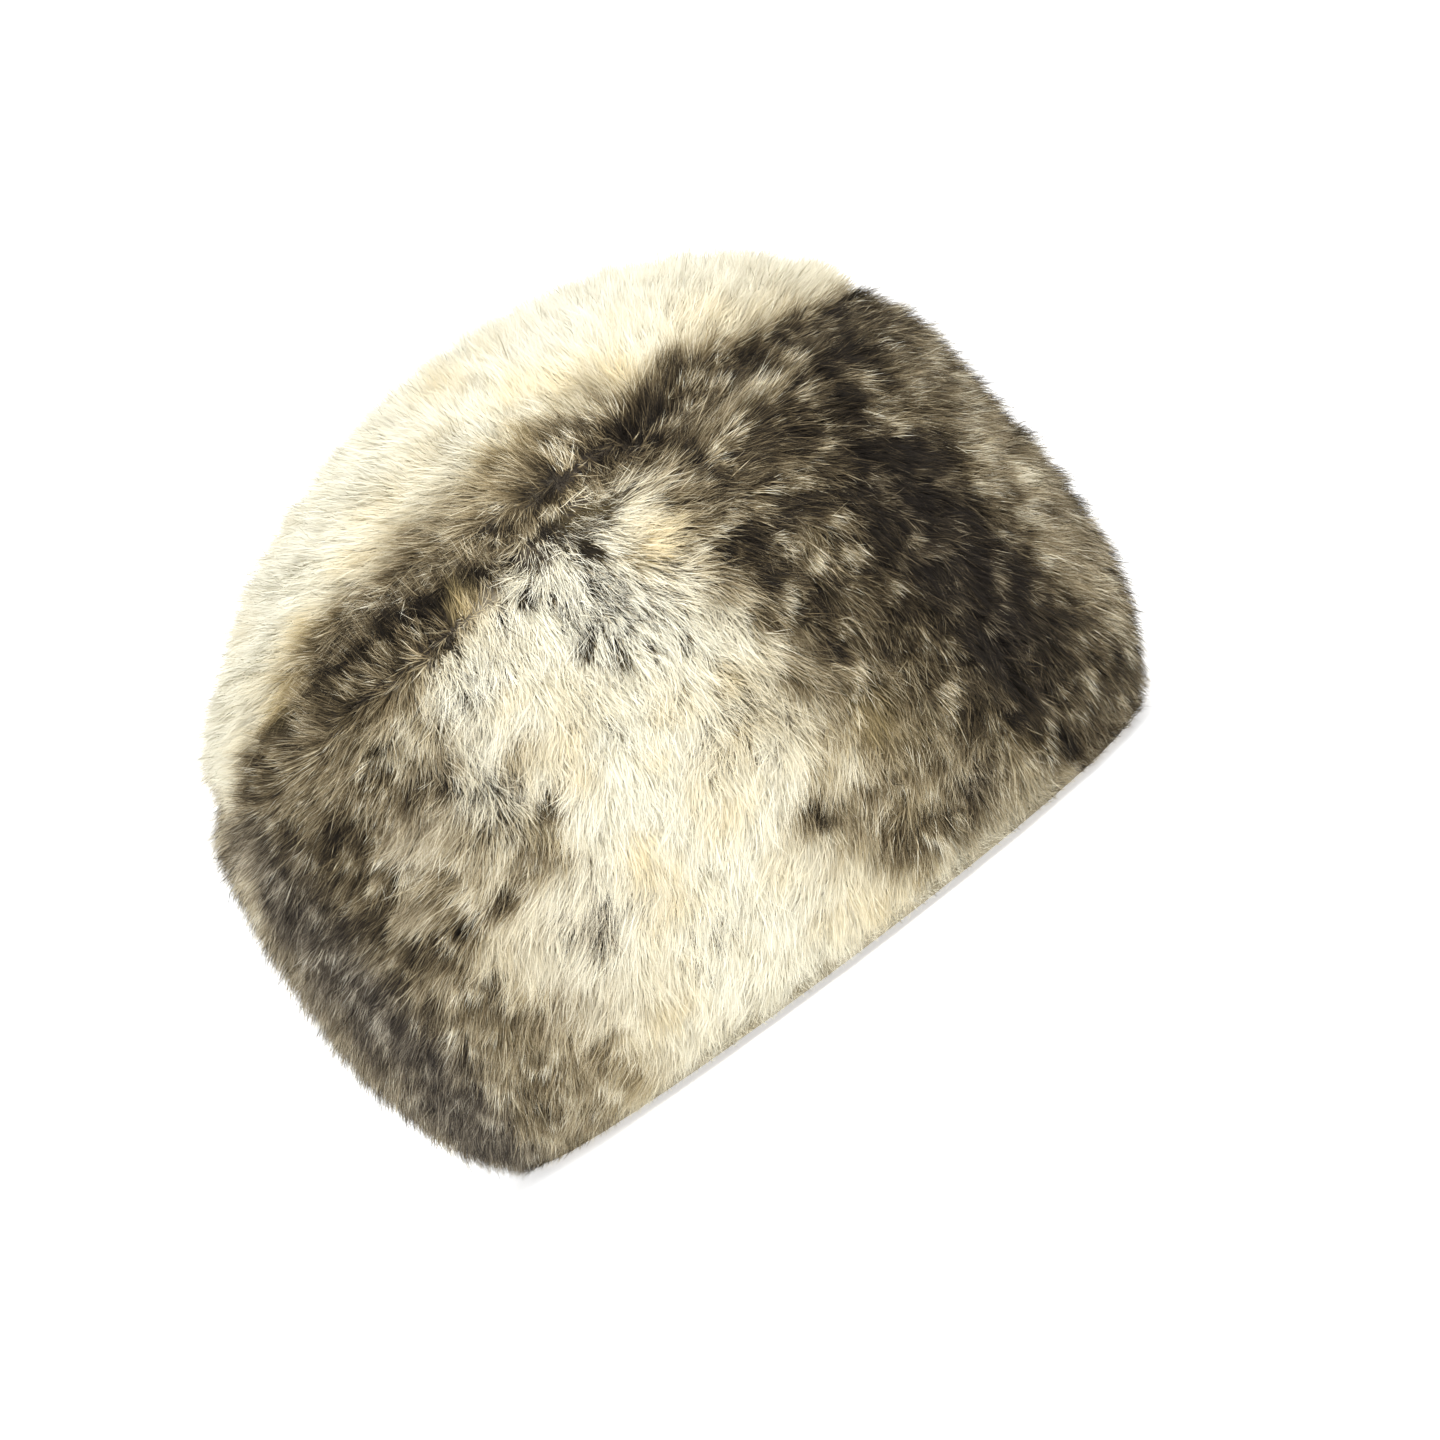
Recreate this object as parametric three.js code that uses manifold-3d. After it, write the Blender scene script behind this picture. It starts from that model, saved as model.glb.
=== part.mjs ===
// A tall oval hat of long-pile fur cloth, standing on its rim: a side band and a domed crown,
// each a hollow wall whose outside is a shingle of fur locks fused to it.
// Millimetres, +X to the front, +Z up, z = 0 on the rim.
import * as THREE from "three";
import { mergeVertices } from "three/addons/utils/BufferGeometryUtils.js";
import Module from "manifold-3d";

const wasm = await Module();
wasm.setup();

const MIDDLE = new THREE.Vector3(4, 0, 60); // both forms are measured outwards from here
const SEAM_GAP = 0.3; // between the two pieces
const SEAM_HEIGHT = 133; // of the seam at the sides
const SEAM_DIP = 7; // the seam is lower than that at the rear
const SEAM_GROOVE = 3.5; // how far the fur dips in over the seam
const SEAM_SPREAD = 6; // and how far up and down
const PILE = 24; // about how far the fur's outer form stands off the inside of the cloth
const HALF_LENGTH = 121;
const THINNEST = 3; // of cloth and fur together, in the deepest fold
const BED = 0.66; // where the locks part, from the cloth (0) to the outer form (1)
const LOWEST = -0.78; // elevation from MIDDLE, in radians, that every wall reaches down to
const WALL_STEPS = { around: 32, up: 13 };
const HOLLOW_STEPS = { around: 32, up: 11 };
const BLOCK = 400; // a cutting block's side, larger than the hat

// The outer form of the fur and the inside of the cloth: how far each reaches at a height.
const FUR = [
  { z: -14, front: 82, rear: 82, side: 72 },
  { z: 0, front: 100, rear: 100, side: 89 },
  { z: 7, front: 105.5, rear: 104.5, side: 94 },
  { z: 20, front: 113, rear: 112, side: 101 },
  { z: 42, front: 119.5, rear: 118.5, side: 107 },
  { z: 68, front: 120.5, rear: 120, side: 108.5 },
  { z: 92, front: 118.5, rear: 119, side: 107 },
  { z: 113, front: 116, rear: 115, side: 104 },
  { z: 127, front: 113.5, rear: 109, side: 101 },
  { z: 140, front: 106.5, rear: 100, side: 95 },
  { z: 151, front: 97, rear: 87, side: 85 },
  { z: 161, front: 85, rear: 74, side: 73 },
  { z: 170, front: 71, rear: 58, side: 58 },
  { z: 177, front: 55, rear: 40, side: 43 },
  { z: 182, front: 36, rear: 22, side: 26 },
  { z: 184.5, front: 4, rear: -4, side: 0 },
];
const CLOTH = [
  { z: -14, front: 94, rear: 94, side: 82 },
  { z: 0, front: 95, rear: 95, side: 83.5 },
  { z: 30, front: 97, rear: 97, side: 86 },
  { z: 75, front: 97, rear: 97, side: 86 },
  { z: 110, front: 94, rear: 93, side: 83 },
  { z: 132, front: 85, rear: 81, side: 74 },
  { z: 146, front: 70, rear: 64, side: 59 },
  { z: 155, front: 49, rear: 42, side: 39 },
  { z: 160, front: 22, rear: 16, side: 16 },
  { z: 161, front: 4, rear: -4, side: 0 },
];

// Folds, dents and creases on the near side: where, how long and high, how far each is turned
// from level, and how far it stands out (+) or in (-).
const FOLDS = [
  { name: "bulge of the crown over the seam", x: 12, z: 149, long: 27, high: 11, turn: -12, out: 6 },
  { name: "crease over the bulge", x: 17, z: 163, long: 25, high: 4.5, turn: -18, out: -6 },
  { name: "pinch in the seam", x: 10, z: 134, long: 20, high: 6, turn: 0, out: -8 },
  { name: "seam crease to the rear", x: -36, z: 137, long: 32, high: 5, turn: 4, out: -5 },
  { name: "seam crease to the front", x: 45, z: 142, long: 14, high: 5, turn: 35, out: -5 },
  { name: "rear cleft below the pinch", x: -4, z: 117, long: 4, high: 15, turn: -6, out: -4 },
  { name: "front cleft below the pinch", x: 22, z: 118, long: 4, high: 14, turn: 16, out: -4 },
  { name: "swell of the band at the rear", x: -62, z: 96, long: 22, high: 18, turn: 0, out: 2.5 },
  { name: "swell of the band at the front", x: 74, z: 98, long: 26, high: 16, turn: 0, out: 2.5 },
];

// Which way the band's fur lies, as seen from the near side: 0 is straight down, + to the front.
// Each place counts fully within NAP_REACH of it.
const NAP = [
  { near: true, x: -75, z: 134, lean: -88 },
  { near: true, x: -87, z: 114, lean: -60 },
  { near: true, x: -87, z: 78, lean: -78 },
  { near: true, x: -86, z: 32, lean: -45 },
  { near: true, x: -40, z: 116, lean: -10 },
  { near: true, x: -50, z: 82, lean: -50 },
  { near: true, x: -37, z: 45, lean: -35 },
  { near: true, x: -1, z: 114, lean: 0 },
  { near: true, x: -2, z: 45, lean: -25 },
  { near: true, x: 18, z: 116, lean: 40 },
  { near: true, x: 36, z: 118, lean: 58 },
  { near: true, x: 29, z: 81, lean: 0 },
  { near: true, x: 24, z: 34, lean: -25 },
  { near: true, x: 69, z: 130, lean: 85 },
  { near: true, x: 69, z: 114, lean: 52 },
  { near: true, x: 66, z: 97, lean: 30 },
  { near: true, x: 81, z: 84, lean: 0 },
  { near: true, x: 98, z: 96, lean: 45 },
  { near: true, x: 66, z: 24, lean: -28 },
  { near: true, x: 95, z: 24, lean: 0 },
  { near: false, x: -70, z: 100, lean: -55 },
  { near: false, x: -70, z: 30, lean: -40 },
  { near: false, x: 0, z: 110, lean: -30 },
  { near: false, x: 0, z: 40, lean: -25 },
  { near: false, x: 70, z: 100, lean: 20 },
  { near: false, x: 70, z: 30, lean: -10 },
];
const NAP_REACH = 8;
// The crown's fur lies away from this point on the seam, and droops towards the ends.
const CROWN_NAP = { from: new THREE.Vector3(26, -92, 136), droop: 0.55 };

// Rows of locks on the band from the seam down, and locks spread over the crown from its middle out.
const BAND_ROWS = { top: 139, step: 20, rows: 7, around: 19, long: 36, wide: 34, thick: 10 };
const CROWN_LOCKS = { count: 52, out: 54, long: 36, wide: 32, thick: 10 };
const NEAR_SEAM = -50; // nearer than this the seam shows, and no lock of the crown hangs over it
const HANG = 0.08; // how far above the band's wall the crown's locks may hang over it, as a share
const CLEARANCE = 1.12; // how much larger than the crown's locks the room left for them is
const LOCK_RINGS = [
  { along: 0, rise: 0.55, wide: 0.6 },
  { along: 0.5, rise: 1, wide: 1 },
];
const TIP_RISE = 1.14;
const EDGE_DEPTH = 0.6; // of a lock's sides below its ridge, in its thicknesses
const UNDER_DEPTH = 1.5; // and of its underside
const STRIDE = 4; // with which a lock's path is followed over the fur

const Z = new THREE.Vector3(0, 0, 1);
const radians = THREE.MathUtils.degToRad;

// A fixed number from 0 to 1 for each pair of whole numbers, so every build is the same.
function chance(a, b) {
  const v = Math.sin(a * 127.1 + b * 311.7 + 74.7) * 43758.5453;
  return v - Math.floor(v);
}

// Turns one column of a form's table into its distance from MIDDLE for each elevation.
function reachOf(form, side) {
  const rows = form.map((row) => {
    const out = side === "front" ? row.front - MIDDLE.x : side === "rear" ? row.rear + MIDDLE.x : row.side;
    return { at: Math.atan2(row.z - MIDDLE.z, out), r: Math.hypot(row.z - MIDDLE.z, out) };
  });
  const slope = rows.map((_, i) => {
    const a = rows[Math.max(i - 1, 0)];
    const b = rows[Math.min(i + 1, rows.length - 1)];
    return i === rows.length - 1 ? 0 : (b.r - a.r) / (b.at - a.at);
  });
  return (elevation) => {
    let i = rows.findIndex((row) => row.at > elevation) - 1;
    if (i < 0) i = elevation < rows[0].at ? 0 : rows.length - 2;
    const [a, b] = [rows[i], rows[i + 1]];
    const span = b.at - a.at;
    const t = Math.min(Math.max((elevation - a.at) / span, 0), 1);
    const [t2, t3] = [t * t, t * t * t];
    return (
      (2 * t3 - 3 * t2 + 1) * a.r +
      (t3 - 2 * t2 + t) * span * slope[i] +
      (3 * t2 - 2 * t3) * b.r +
      (t3 - t2) * span * slope[i + 1]
    );
  };
}

// The distance from MIDDLE to an oval form in a direction.
function formOf(table) {
  const reach = { front: reachOf(table, "front"), rear: reachOf(table, "rear"), side: reachOf(table, "side") };
  return (direction) => {
    const flat = Math.hypot(direction.x, direction.y);
    const elevation = Math.atan2(direction.z, flat);
    const end = direction.x > 0 ? reach.front(elevation) : reach.rear(elevation);
    const side = reach.side(elevation);
    if (flat < 1e-6) return side;
    const c = direction.x / flat;
    const s = direction.y / flat;
    return 1 / Math.sqrt((c * c) / (end * end) + (s * s) / (side * side));
  };
}

const furForm = formOf(FUR);
const clothForm = formOf(CLOTH);

// The seam drops towards the rear.
function seamHeight(x) {
  return SEAM_HEIGHT - SEAM_DIP * THREE.MathUtils.smoothstep(-x, 40, 115);
}

// How far the folds and the seam move the fur's outer form at a point.
function folded(point) {
  let out = -SEAM_GROOVE * Math.exp(-(((point.z - seamHeight(point.x)) / SEAM_SPREAD) ** 2));
  const facing = THREE.MathUtils.smoothstep(-point.y, 0, 40);
  for (const fold of FOLDS) {
    const [dx, dz] = [point.x - fold.x, point.z - fold.z];
    const [c, s] = [Math.cos(radians(fold.turn)), Math.sin(radians(fold.turn))];
    const along = (dx * c + dz * s) / fold.long;
    const across = (dz * c - dx * s) / fold.high;
    out += facing * fold.out * Math.exp(-along * along - across * across);
  }
  return out;
}

// The point in a direction, at a share of the way from the cloth (0) to the fur's tips (1).
function at(direction, share) {
  const d = direction.clone().normalize();
  const cloth = clothForm(d);
  let fur = furForm(d);
  fur += folded(d.clone().multiplyScalar(fur).add(MIDDLE));
  return d.multiplyScalar(cloth + share * Math.max(fur - cloth, THINNEST)).add(MIDDLE);
}

function directionOf(azimuth, elevation) {
  return new THREE.Vector3(
    Math.cos(elevation) * Math.cos(azimuth),
    Math.cos(elevation) * Math.sin(azimuth),
    Math.sin(elevation),
  );
}

// The direction in which the fur's surface is met at a height and an azimuth.
function towards(azimuth, z) {
  let [low, high] = [LOWEST, Math.PI / 2];
  for (let i = 0; i < 30; i++) {
    const middle = (low + high) / 2;
    if (at(directionOf(azimuth, middle), 1).z < z) low = middle;
    else high = middle;
  }
  return directionOf(azimuth, (low + high) / 2);
}

const napRows = NAP.map((row) => {
  const azimuth = (row.near ? -1 : 1) * Math.acos(row.x / HALF_LENGTH);
  const lean = radians(row.lean);
  return {
    point: at(towards(azimuth, row.z), 1),
    lies: new THREE.Vector3(Math.sin(lean), 0, -Math.cos(lean)),
  };
});

function bandNap(point) {
  const lies = new THREE.Vector3();
  for (const row of napRows) {
    lies.addScaledVector(row.lies, 1 / (row.point.distanceToSquared(point) + NAP_REACH ** 2));
  }
  return lies.normalize();
}

function crownNap(point) {
  const lies = point.clone().sub(CROWN_NAP.from).normalize();
  lies.z -= CROWN_NAP.droop * (Math.abs(point.x - 8) / 100) ** 2;
  return lies.normalize();
}

// A closed mesh as a solid that can be joined and cut.
function solid(geometry) {
  geometry.deleteAttribute("normal");
  geometry.deleteAttribute("uv");
  const merged = mergeVertices(geometry, 1e-4);
  return new wasm.Manifold(
    new wasm.Mesh({
      numProp: 3,
      vertProperties: new Float32Array(merged.attributes.position.array),
      triVerts: new Uint32Array(merged.index.array),
    }),
  );
}

// A closed body from rings of points that start and end in a cap round one point.
function throughRings(first, rings, last) {
  const points = [first, ...rings.flat(), last];
  const n = rings[0].length;
  const index = [];
  for (let j = 0; j < n; j++) {
    const k = (j + 1) % n;
    index.push(0, 1 + k, 1 + j);
    for (let i = 0; i < rings.length - 1; i++) {
      const [a, b] = [1 + i * n, 1 + (i + 1) * n];
      index.push(a + j, a + k, b + k, a + j, b + k, b + j);
    }
    const end = 1 + (rings.length - 1) * n;
    index.push(end + j, end + k, points.length - 1);
  }
  const geometry = new THREE.BufferGeometry();
  geometry.setAttribute("position", new THREE.Float32BufferAttribute(points.flatMap((p) => p.toArray()), 3));
  geometry.setIndex(index);
  return solid(geometry);
}

// A closed dome at a share of the way from the cloth to the tips, reaching down past the rim.
function dome(share, steps) {
  const rings = [];
  for (let i = 0; i < steps.up; i++) {
    const elevation = THREE.MathUtils.lerp(LOWEST, Math.PI / 2, i / steps.up);
    const ring = [];
    for (let j = 0; j < steps.around; j++) {
      ring.push(at(directionOf((2 * Math.PI * j) / steps.around, elevation), share));
    }
    rings.push(ring);
  }
  const foot = new THREE.Vector3(MIDDLE.x, 0, rings[0][0].z);
  return throughRings(foot, rings, at(Z, share));
}

function meanOf(points) {
  return points.reduce((sum, p) => sum.add(p), new THREE.Vector3()).divideScalar(points.length);
}

// One pointed lock that starts in the wall, lies along the nap and ends at the tips, made larger
// about its own middle by a factor.
function lock(root, nap, size, grown = 1) {
  const here = at(root.clone().sub(MIDDLE), 1);
  let walked = 0;
  const heading = () => {
    const out = here.clone().sub(MIDDLE).normalize();
    const lies = nap(here).projectOnPlane(out).normalize();
    return lies.applyAxisAngle(out, size.turn);
  };
  const walkTo = (distance) => {
    while (walked < distance) {
      const stride = Math.min(STRIDE, distance - walked);
      here.addScaledVector(heading(), stride);
      here.copy(at(here.clone().sub(MIDDLE), 1));
      walked += stride;
    }
  };
  const rings = LOCK_RINGS.map((ring) => {
    walkTo(ring.along * size.long);
    const out = here.clone().sub(MIDDLE).normalize();
    const sideways = out.clone().cross(heading()).multiplyScalar((ring.wide * size.wide) / 2);
    const edge = at(out, ring.rise - (EDGE_DEPTH * size.thick) / PILE);
    const under = at(out, ring.rise - (UNDER_DEPTH * size.thick) / PILE);
    return [at(out, ring.rise), edge.clone().sub(sideways), under, edge.clone().add(sideways)];
  });
  walkTo(size.long);
  const tip = at(here.clone().sub(MIDDLE), TIP_RISE);
  const middle = meanOf(rings.flat());
  for (const point of [...rings.flat(), tip]) point.sub(middle).multiplyScalar(grown).add(middle);
  return throughRings(meanOf(rings[0]), rings, tip);
}

// One lock's sizes, each a little off the common ones.
function sized(common, i, j) {
  return {
    long: common.long * (0.8 + 0.4 * chance(i, j)),
    wide: common.wide * (0.8 + 0.4 * chance(i + 40, j)),
    thick: common.thick,
    turn: radians(26 * (chance(i, j + 60) - 0.5)),
  };
}

function bandLocks() {
  const { top, step, rows, around } = BAND_ROWS;
  const locks = [];
  for (let i = 0; i < rows; i++) {
    for (let j = 0; j < around; j++) {
      const turn = j + 0.5 * (i % 2) + 0.35 * (chance(i, j) - 0.5);
      const down = i + 0.3 * (chance(i, j + 20) - 0.5);
      const root = at(towards((2 * Math.PI * turn) / around, top - step * down), 1);
      locks.push(lock(root, bandNap, sized(BAND_ROWS, i, j)));
    }
  }
  return locks;
}

function crownLocks(grown) {
  const { count, out } = CROWN_LOCKS;
  const golden = Math.PI * (3 - Math.sqrt(5));
  const locks = [];
  for (let i = 0; i < count; i++) {
    const fromTop = radians(out) * Math.sqrt((i + 0.5) / count);
    const root = at(directionOf(golden * i, Math.PI / 2 - fromTop), 1);
    const made = lock(root, crownNap, sized(CROWN_LOCKS, i, 7), grown);
    locks.push(root.y < NEAR_SEAM ? made.intersect(aboveSeam(SEAM_GAP / 2)) : made);
  }
  return locks;
}

// Everything above the seam, as a block whose lower face follows the seam out through the fur.
function aboveSeam(shift) {
  const [reach, top] = [BLOCK / 2, BLOCK];
  const shape = new THREE.Shape();
  shape.moveTo(-reach, top);
  for (let x = -reach; x <= reach; x += 10) shape.lineTo(x, seamHeight(x) + shift);
  shape.lineTo(reach, top);
  const geometry = new THREE.ExtrudeGeometry(shape, { depth: 2 * reach, bevelEnabled: false, steps: 1 });
  geometry.rotateX(Math.PI / 2);
  geometry.translate(0, reach, 0);
  return solid(geometry);
}

function belowRim() {
  const geometry = new THREE.BoxGeometry(BLOCK, BLOCK, BLOCK);
  geometry.translate(0, 0, -BLOCK / 2);
  return solid(geometry);
}

function geometryOf(body) {
  const { vertProperties, triVerts } = body.getMesh();
  const geometry = new THREE.BufferGeometry();
  geometry.setAttribute("position", new THREE.BufferAttribute(new Float32Array(vertProperties), 3));
  geometry.setIndex(new THREE.BufferAttribute(new Uint32Array(triVerts), 1));
  return geometry;
}

// The largest shell of a body, made anew so that shells that touch in one point come apart:
// the small voids between crossing locks are left solid, and loose crumbs dropped.
function outerShell(body) {
  return solid(geometryOf(body)).decompose().sort((a, b) => b.volume() - a.volume())[0];
}

function mesh(name, body, material) {
  const geometry = geometryOf(outerShell(body));
  geometry.computeVertexNormals();
  const made = new THREE.Mesh(geometry, material);
  made.name = name;
  return made;
}

const hollow = dome(0, HOLLOW_STEPS);
const wall = dome(BED, WALL_STEPS);
const underHang = dome(BED + HANG, WALL_STEPS).subtract(aboveSeam(SEAM_GAP / 2));
const crown = wasm.Manifold.union([wall, ...crownLocks()])
  .subtract(hollow)
  .subtract(underHang)
  .subtract(belowRim());

const roomForCrown = wasm.Manifold.union(crownLocks(CLEARANCE)).subtract(wall);
const band = wasm.Manifold.union([wall, ...bandLocks()])
  .subtract(hollow)
  .subtract(belowRim())
  .subtract(roomForCrown)
  .subtract(aboveSeam(-SEAM_GAP / 2));

const brownFur = new THREE.MeshStandardMaterial({ color: "#8f7c60", roughness: 0.95, metalness: 0 });
const creamFur = new THREE.MeshStandardMaterial({ color: "#e6d9b8", roughness: 0.95, metalness: 0 });

const hat = new THREE.Group();
hat.add(mesh("side_band", band, brownFur));
hat.add(mesh("crown", crown, creamFur));

export default hat;
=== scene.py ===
import math

import bpy
import numpy as np
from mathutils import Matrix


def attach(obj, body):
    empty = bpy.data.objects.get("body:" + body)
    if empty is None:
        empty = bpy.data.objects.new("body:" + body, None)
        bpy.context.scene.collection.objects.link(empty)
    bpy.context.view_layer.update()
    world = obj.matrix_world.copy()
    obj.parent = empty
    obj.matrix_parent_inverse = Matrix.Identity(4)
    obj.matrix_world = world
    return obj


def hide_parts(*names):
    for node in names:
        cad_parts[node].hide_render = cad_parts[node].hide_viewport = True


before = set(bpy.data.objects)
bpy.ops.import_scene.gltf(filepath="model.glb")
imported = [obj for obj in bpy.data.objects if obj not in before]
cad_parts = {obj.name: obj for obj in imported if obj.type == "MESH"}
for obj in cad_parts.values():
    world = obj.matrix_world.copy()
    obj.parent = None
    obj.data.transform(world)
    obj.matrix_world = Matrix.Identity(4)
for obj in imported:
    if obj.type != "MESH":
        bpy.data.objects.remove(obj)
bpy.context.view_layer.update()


# Camera
# It looks level at the hat's right side from a metre and a half away, a little above the floor,
# and is rolled as the photograph is, in which the hat leans back.

ROLL = math.radians(37)
LOOK_DOWN = math.radians(2)
DISTANCE = 1.5
WIDTH_IN_VIEW = 0.373  # what the frame spans at the hat
SEEN_MIDDLE = np.array([0.0, 0.0, 0.0873])
SEEN_AT = np.array([633 / 1440 - 0.5, 0.5 - 677 / 1440])  # where that point is in the frame

towards_camera = np.array([0.0, -math.cos(LOOK_DOWN), math.sin(LOOK_DOWN)])
level = np.array([1.0, 0.0, 0.0])
upward = np.cross(towards_camera, level)
frame_right = math.cos(ROLL) * level - math.sin(ROLL) * upward
frame_up = math.sin(ROLL) * level + math.cos(ROLL) * upward
aim = SEEN_MIDDLE - WIDTH_IN_VIEW * (SEEN_AT[0] * frame_right + SEEN_AT[1] * frame_up)

lens = bpy.data.cameras.new("camera")
lens.sensor_width = 36.0
lens.lens = lens.sensor_width * DISTANCE / WIDTH_IN_VIEW
camera = bpy.data.objects.new("camera", lens)
bpy.context.scene.collection.objects.link(camera)
placed = np.eye(4)
placed[:3, 0], placed[:3, 1], placed[:3, 2] = frame_right, frame_up, towards_camera
placed[:3, 3] = aim + DISTANCE * towards_camera
camera.matrix_world = placed.T.tolist()
bpy.context.scene.camera = camera


# Cloth
# The hat is sewn from two panels of knitted fur cloth, a band round the head and a domed crown
# on top of it. Each is a closed wall here, from the knitted back to the soft bed of the pile.

MIDDLE = np.array([4.0, 0.0, 60.0])  # both forms are measured outwards from here, in millimetres
LOWEST = -0.9
SEAM_HEIGHT = 133.0
SEAM_DIP = 7.0  # lower at the rear
SEAM_GROOVE = 2.5
SEAM_SPREAD = 6.0
SEAM_GAP = 0.15  # on each side of the seam
THINNEST = 3.0
RIM = 1.8  # the lowest that the cloth reaches

# z, front, rear, side
PILE_FORM = [
    (-14, 82, 82, 72), (0, 100, 100, 89), (7, 105.5, 104.5, 94), (20, 113, 112, 101),
    (42, 119.5, 118.5, 107), (68, 120.5, 120, 108.5), (92, 118.5, 119, 107), (113, 116, 115, 104),
    (127, 113.5, 109, 101), (140, 106.5, 100, 95), (151, 97, 87, 85), (161, 85, 74, 73),
    (170, 71, 58, 58), (177, 55, 40, 43), (182, 36, 22, 26), (184.5, 4, -4, 0),
]
CLOTH_FORM = [
    (-14, 94, 94, 82), (0, 95, 95, 83.5), (30, 97, 97, 86), (75, 97, 97, 86), (110, 94, 93, 83),
    (132, 85, 81, 74), (146, 70, 64, 59), (155, 49, 42, 39), (160, 22, 16, 16), (161, 4, -4, 0),
]
# Folds on the near side: x, z, half length, half height, turn in degrees, out
FOLDS = [
    (12, 149, 27, 11, -12, 7),  # bulge of the crown over the seam
    (17, 163, 25, 4.5, -18, -6),  # crease over it
    (10, 134, 20, 5, 0, -6),  # pinch in the seam
    (-38, 139, 32, 4, 2, -4),  # seam crease to the rear
    (45, 142, 14, 5, 35, -5),  # seam crease to the front
    (-4, 117, 4, 15, -6, -4),  # rear cleft below the pinch
    (22, 118, 4, 14, 16, -4),  # front cleft below the pinch
    (-62, 96, 22, 18, 0, 2.5),  # swell of the band at the rear
    (74, 98, 26, 16, 0, 2.5),  # swell of the band at the front
]


def smooth(value, low, high):
    share = np.clip((value - low) / (high - low), 0, 1)
    return share * share * (3 - 2 * share)


def unit(vectors):
    return vectors / np.maximum(np.linalg.norm(vectors, axis=-1, keepdims=True), 1e-9)


def reach_of(form, column, shift):
    """One column of a form's table, as the distance from MIDDLE at each elevation."""
    rows = np.array(form, float)
    out, rise = rows[:, column] + shift, rows[:, 0] - MIDDLE[2]
    at, reach = np.arctan2(rise, out), np.hypot(rise, out)
    first, last = np.maximum(np.arange(len(at)) - 1, 0), np.minimum(np.arange(len(at)) + 1, len(at) - 1)
    slope = (reach[last] - reach[first]) / (at[last] - at[first])
    slope[-1] = 0

    def distance(elevation):
        i = np.clip(np.searchsorted(at, elevation) - 1, 0, len(at) - 2)
        span = at[i + 1] - at[i]
        t = np.clip((elevation - at[i]) / span, 0, 1)
        return ((2 * t**3 - 3 * t**2 + 1) * reach[i] + (t**3 - 2 * t**2 + t) * span * slope[i]
                + (3 * t**2 - 2 * t**3) * reach[i + 1] + (t**3 - t**2) * span * slope[i + 1])

    return distance


def form_of(table):
    """The distance from MIDDLE to an oval form in each direction."""
    front, rear, side = reach_of(table, 1, -MIDDLE[0]), reach_of(table, 2, MIDDLE[0]), reach_of(table, 3, 0)

    def distance(directions):
        flat = np.maximum(np.hypot(directions[:, 0], directions[:, 1]), 1e-6)
        elevation = np.arctan2(directions[:, 2], flat)
        end = np.where(directions[:, 0] > 0, front(elevation), rear(elevation))
        along, across = directions[:, 0] / flat, directions[:, 1] / flat
        return 1 / np.sqrt((along / end) ** 2 + (across / side(elevation)) ** 2)

    return distance


pile_form, cloth_form = form_of(PILE_FORM), form_of(CLOTH_FORM)


def seam_height(x):
    return SEAM_HEIGHT - SEAM_DIP * smooth(-x, 40, 115)


def ellipse(points, x, z, long, high, turn):
    """How far points are from the middle of an ellipse seen from the side, 1 on its edge."""
    c, s = math.cos(math.radians(turn)), math.sin(math.radians(turn))
    dx, dz = points[:, 0] - x, points[:, 2] - z
    return np.hypot((dx * c + dz * s) / long, (dz * c - dx * s) / high)


def folded(points):
    out = -SEAM_GROOVE * np.exp(-(((points[:, 2] - seam_height(points[:, 0])) / SEAM_SPREAD) ** 2))
    facing = smooth(-points[:, 1], 0, 40)
    for x, z, long, high, turn, height in FOLDS:
        out += facing * height * np.exp(-(ellipse(points, x, z, long, high, turn) ** 2))
    return out


def surface(directions, share):
    """Points a share of the way from the cloth's back (0) to the tips of the pile (1)."""
    directions = unit(directions)
    cloth, pile = cloth_form(directions), pile_form(directions)
    pile = pile + folded(directions * pile[:, None] + MIDDLE)
    reach = cloth + share * np.maximum(pile - cloth, THINNEST)
    return directions * reach[:, None] + MIDDLE


def direction_of(azimuth, elevation):
    return np.stack([np.cos(elevation) * np.cos(azimuth), np.cos(elevation) * np.sin(azimuth),
                     np.sin(elevation)], -1)


def elevation_at(azimuth, height, share):
    """The elevation from MIDDLE at which a form passes a height."""
    low, high = np.full(len(azimuth), LOWEST), np.full(len(azimuth), math.pi / 2)
    for _ in range(26):
        middle = (low + high) / 2
        below = surface(direction_of(azimuth, middle), share)[:, 2] < height
        low, high = np.where(below, middle, low), np.where(below, high, middle)
    return (low + high) / 2


BED_AT_HEM = 0.1  # how much of the pile's depth its bed takes
BED_MORE = 0.6  # and how much more of it higher up
SEAM_ELEVATION = 0.7  # roughly, in radians from MIDDLE
AROUND = 320
BAND_ROWS = 56
CROWN_ROWS = 48
azimuths = np.linspace(-math.pi, math.pi, AROUND, endpoint=False)


def bed_share(height):
    """The bed of the pile is thin at the hem, where only a turned edge shows."""
    return BED_AT_HEM + BED_MORE * smooth(height, 2, 18)


def seam_line(gap):
    """The height of the seam at each azimuth, a gap above it or below it."""
    near_seam = surface(direction_of(azimuths, np.full(AROUND, SEAM_ELEVATION)), 1)
    return seam_height(near_seam[:, 0]) + gap


def band_grid(share_of):
    """Rows of points up the band, from the rim to the seam."""
    outline = seam_line(-SEAM_GAP)
    rows = []
    for i in range(BAND_ROWS):
        height = RIM + (outline - RIM) * i / (BAND_ROWS - 1)
        share = share_of(height)
        elevation = elevation_at(azimuths, height, share)
        rows.append(surface(direction_of(azimuths, elevation), share))
    return np.array(rows)


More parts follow.
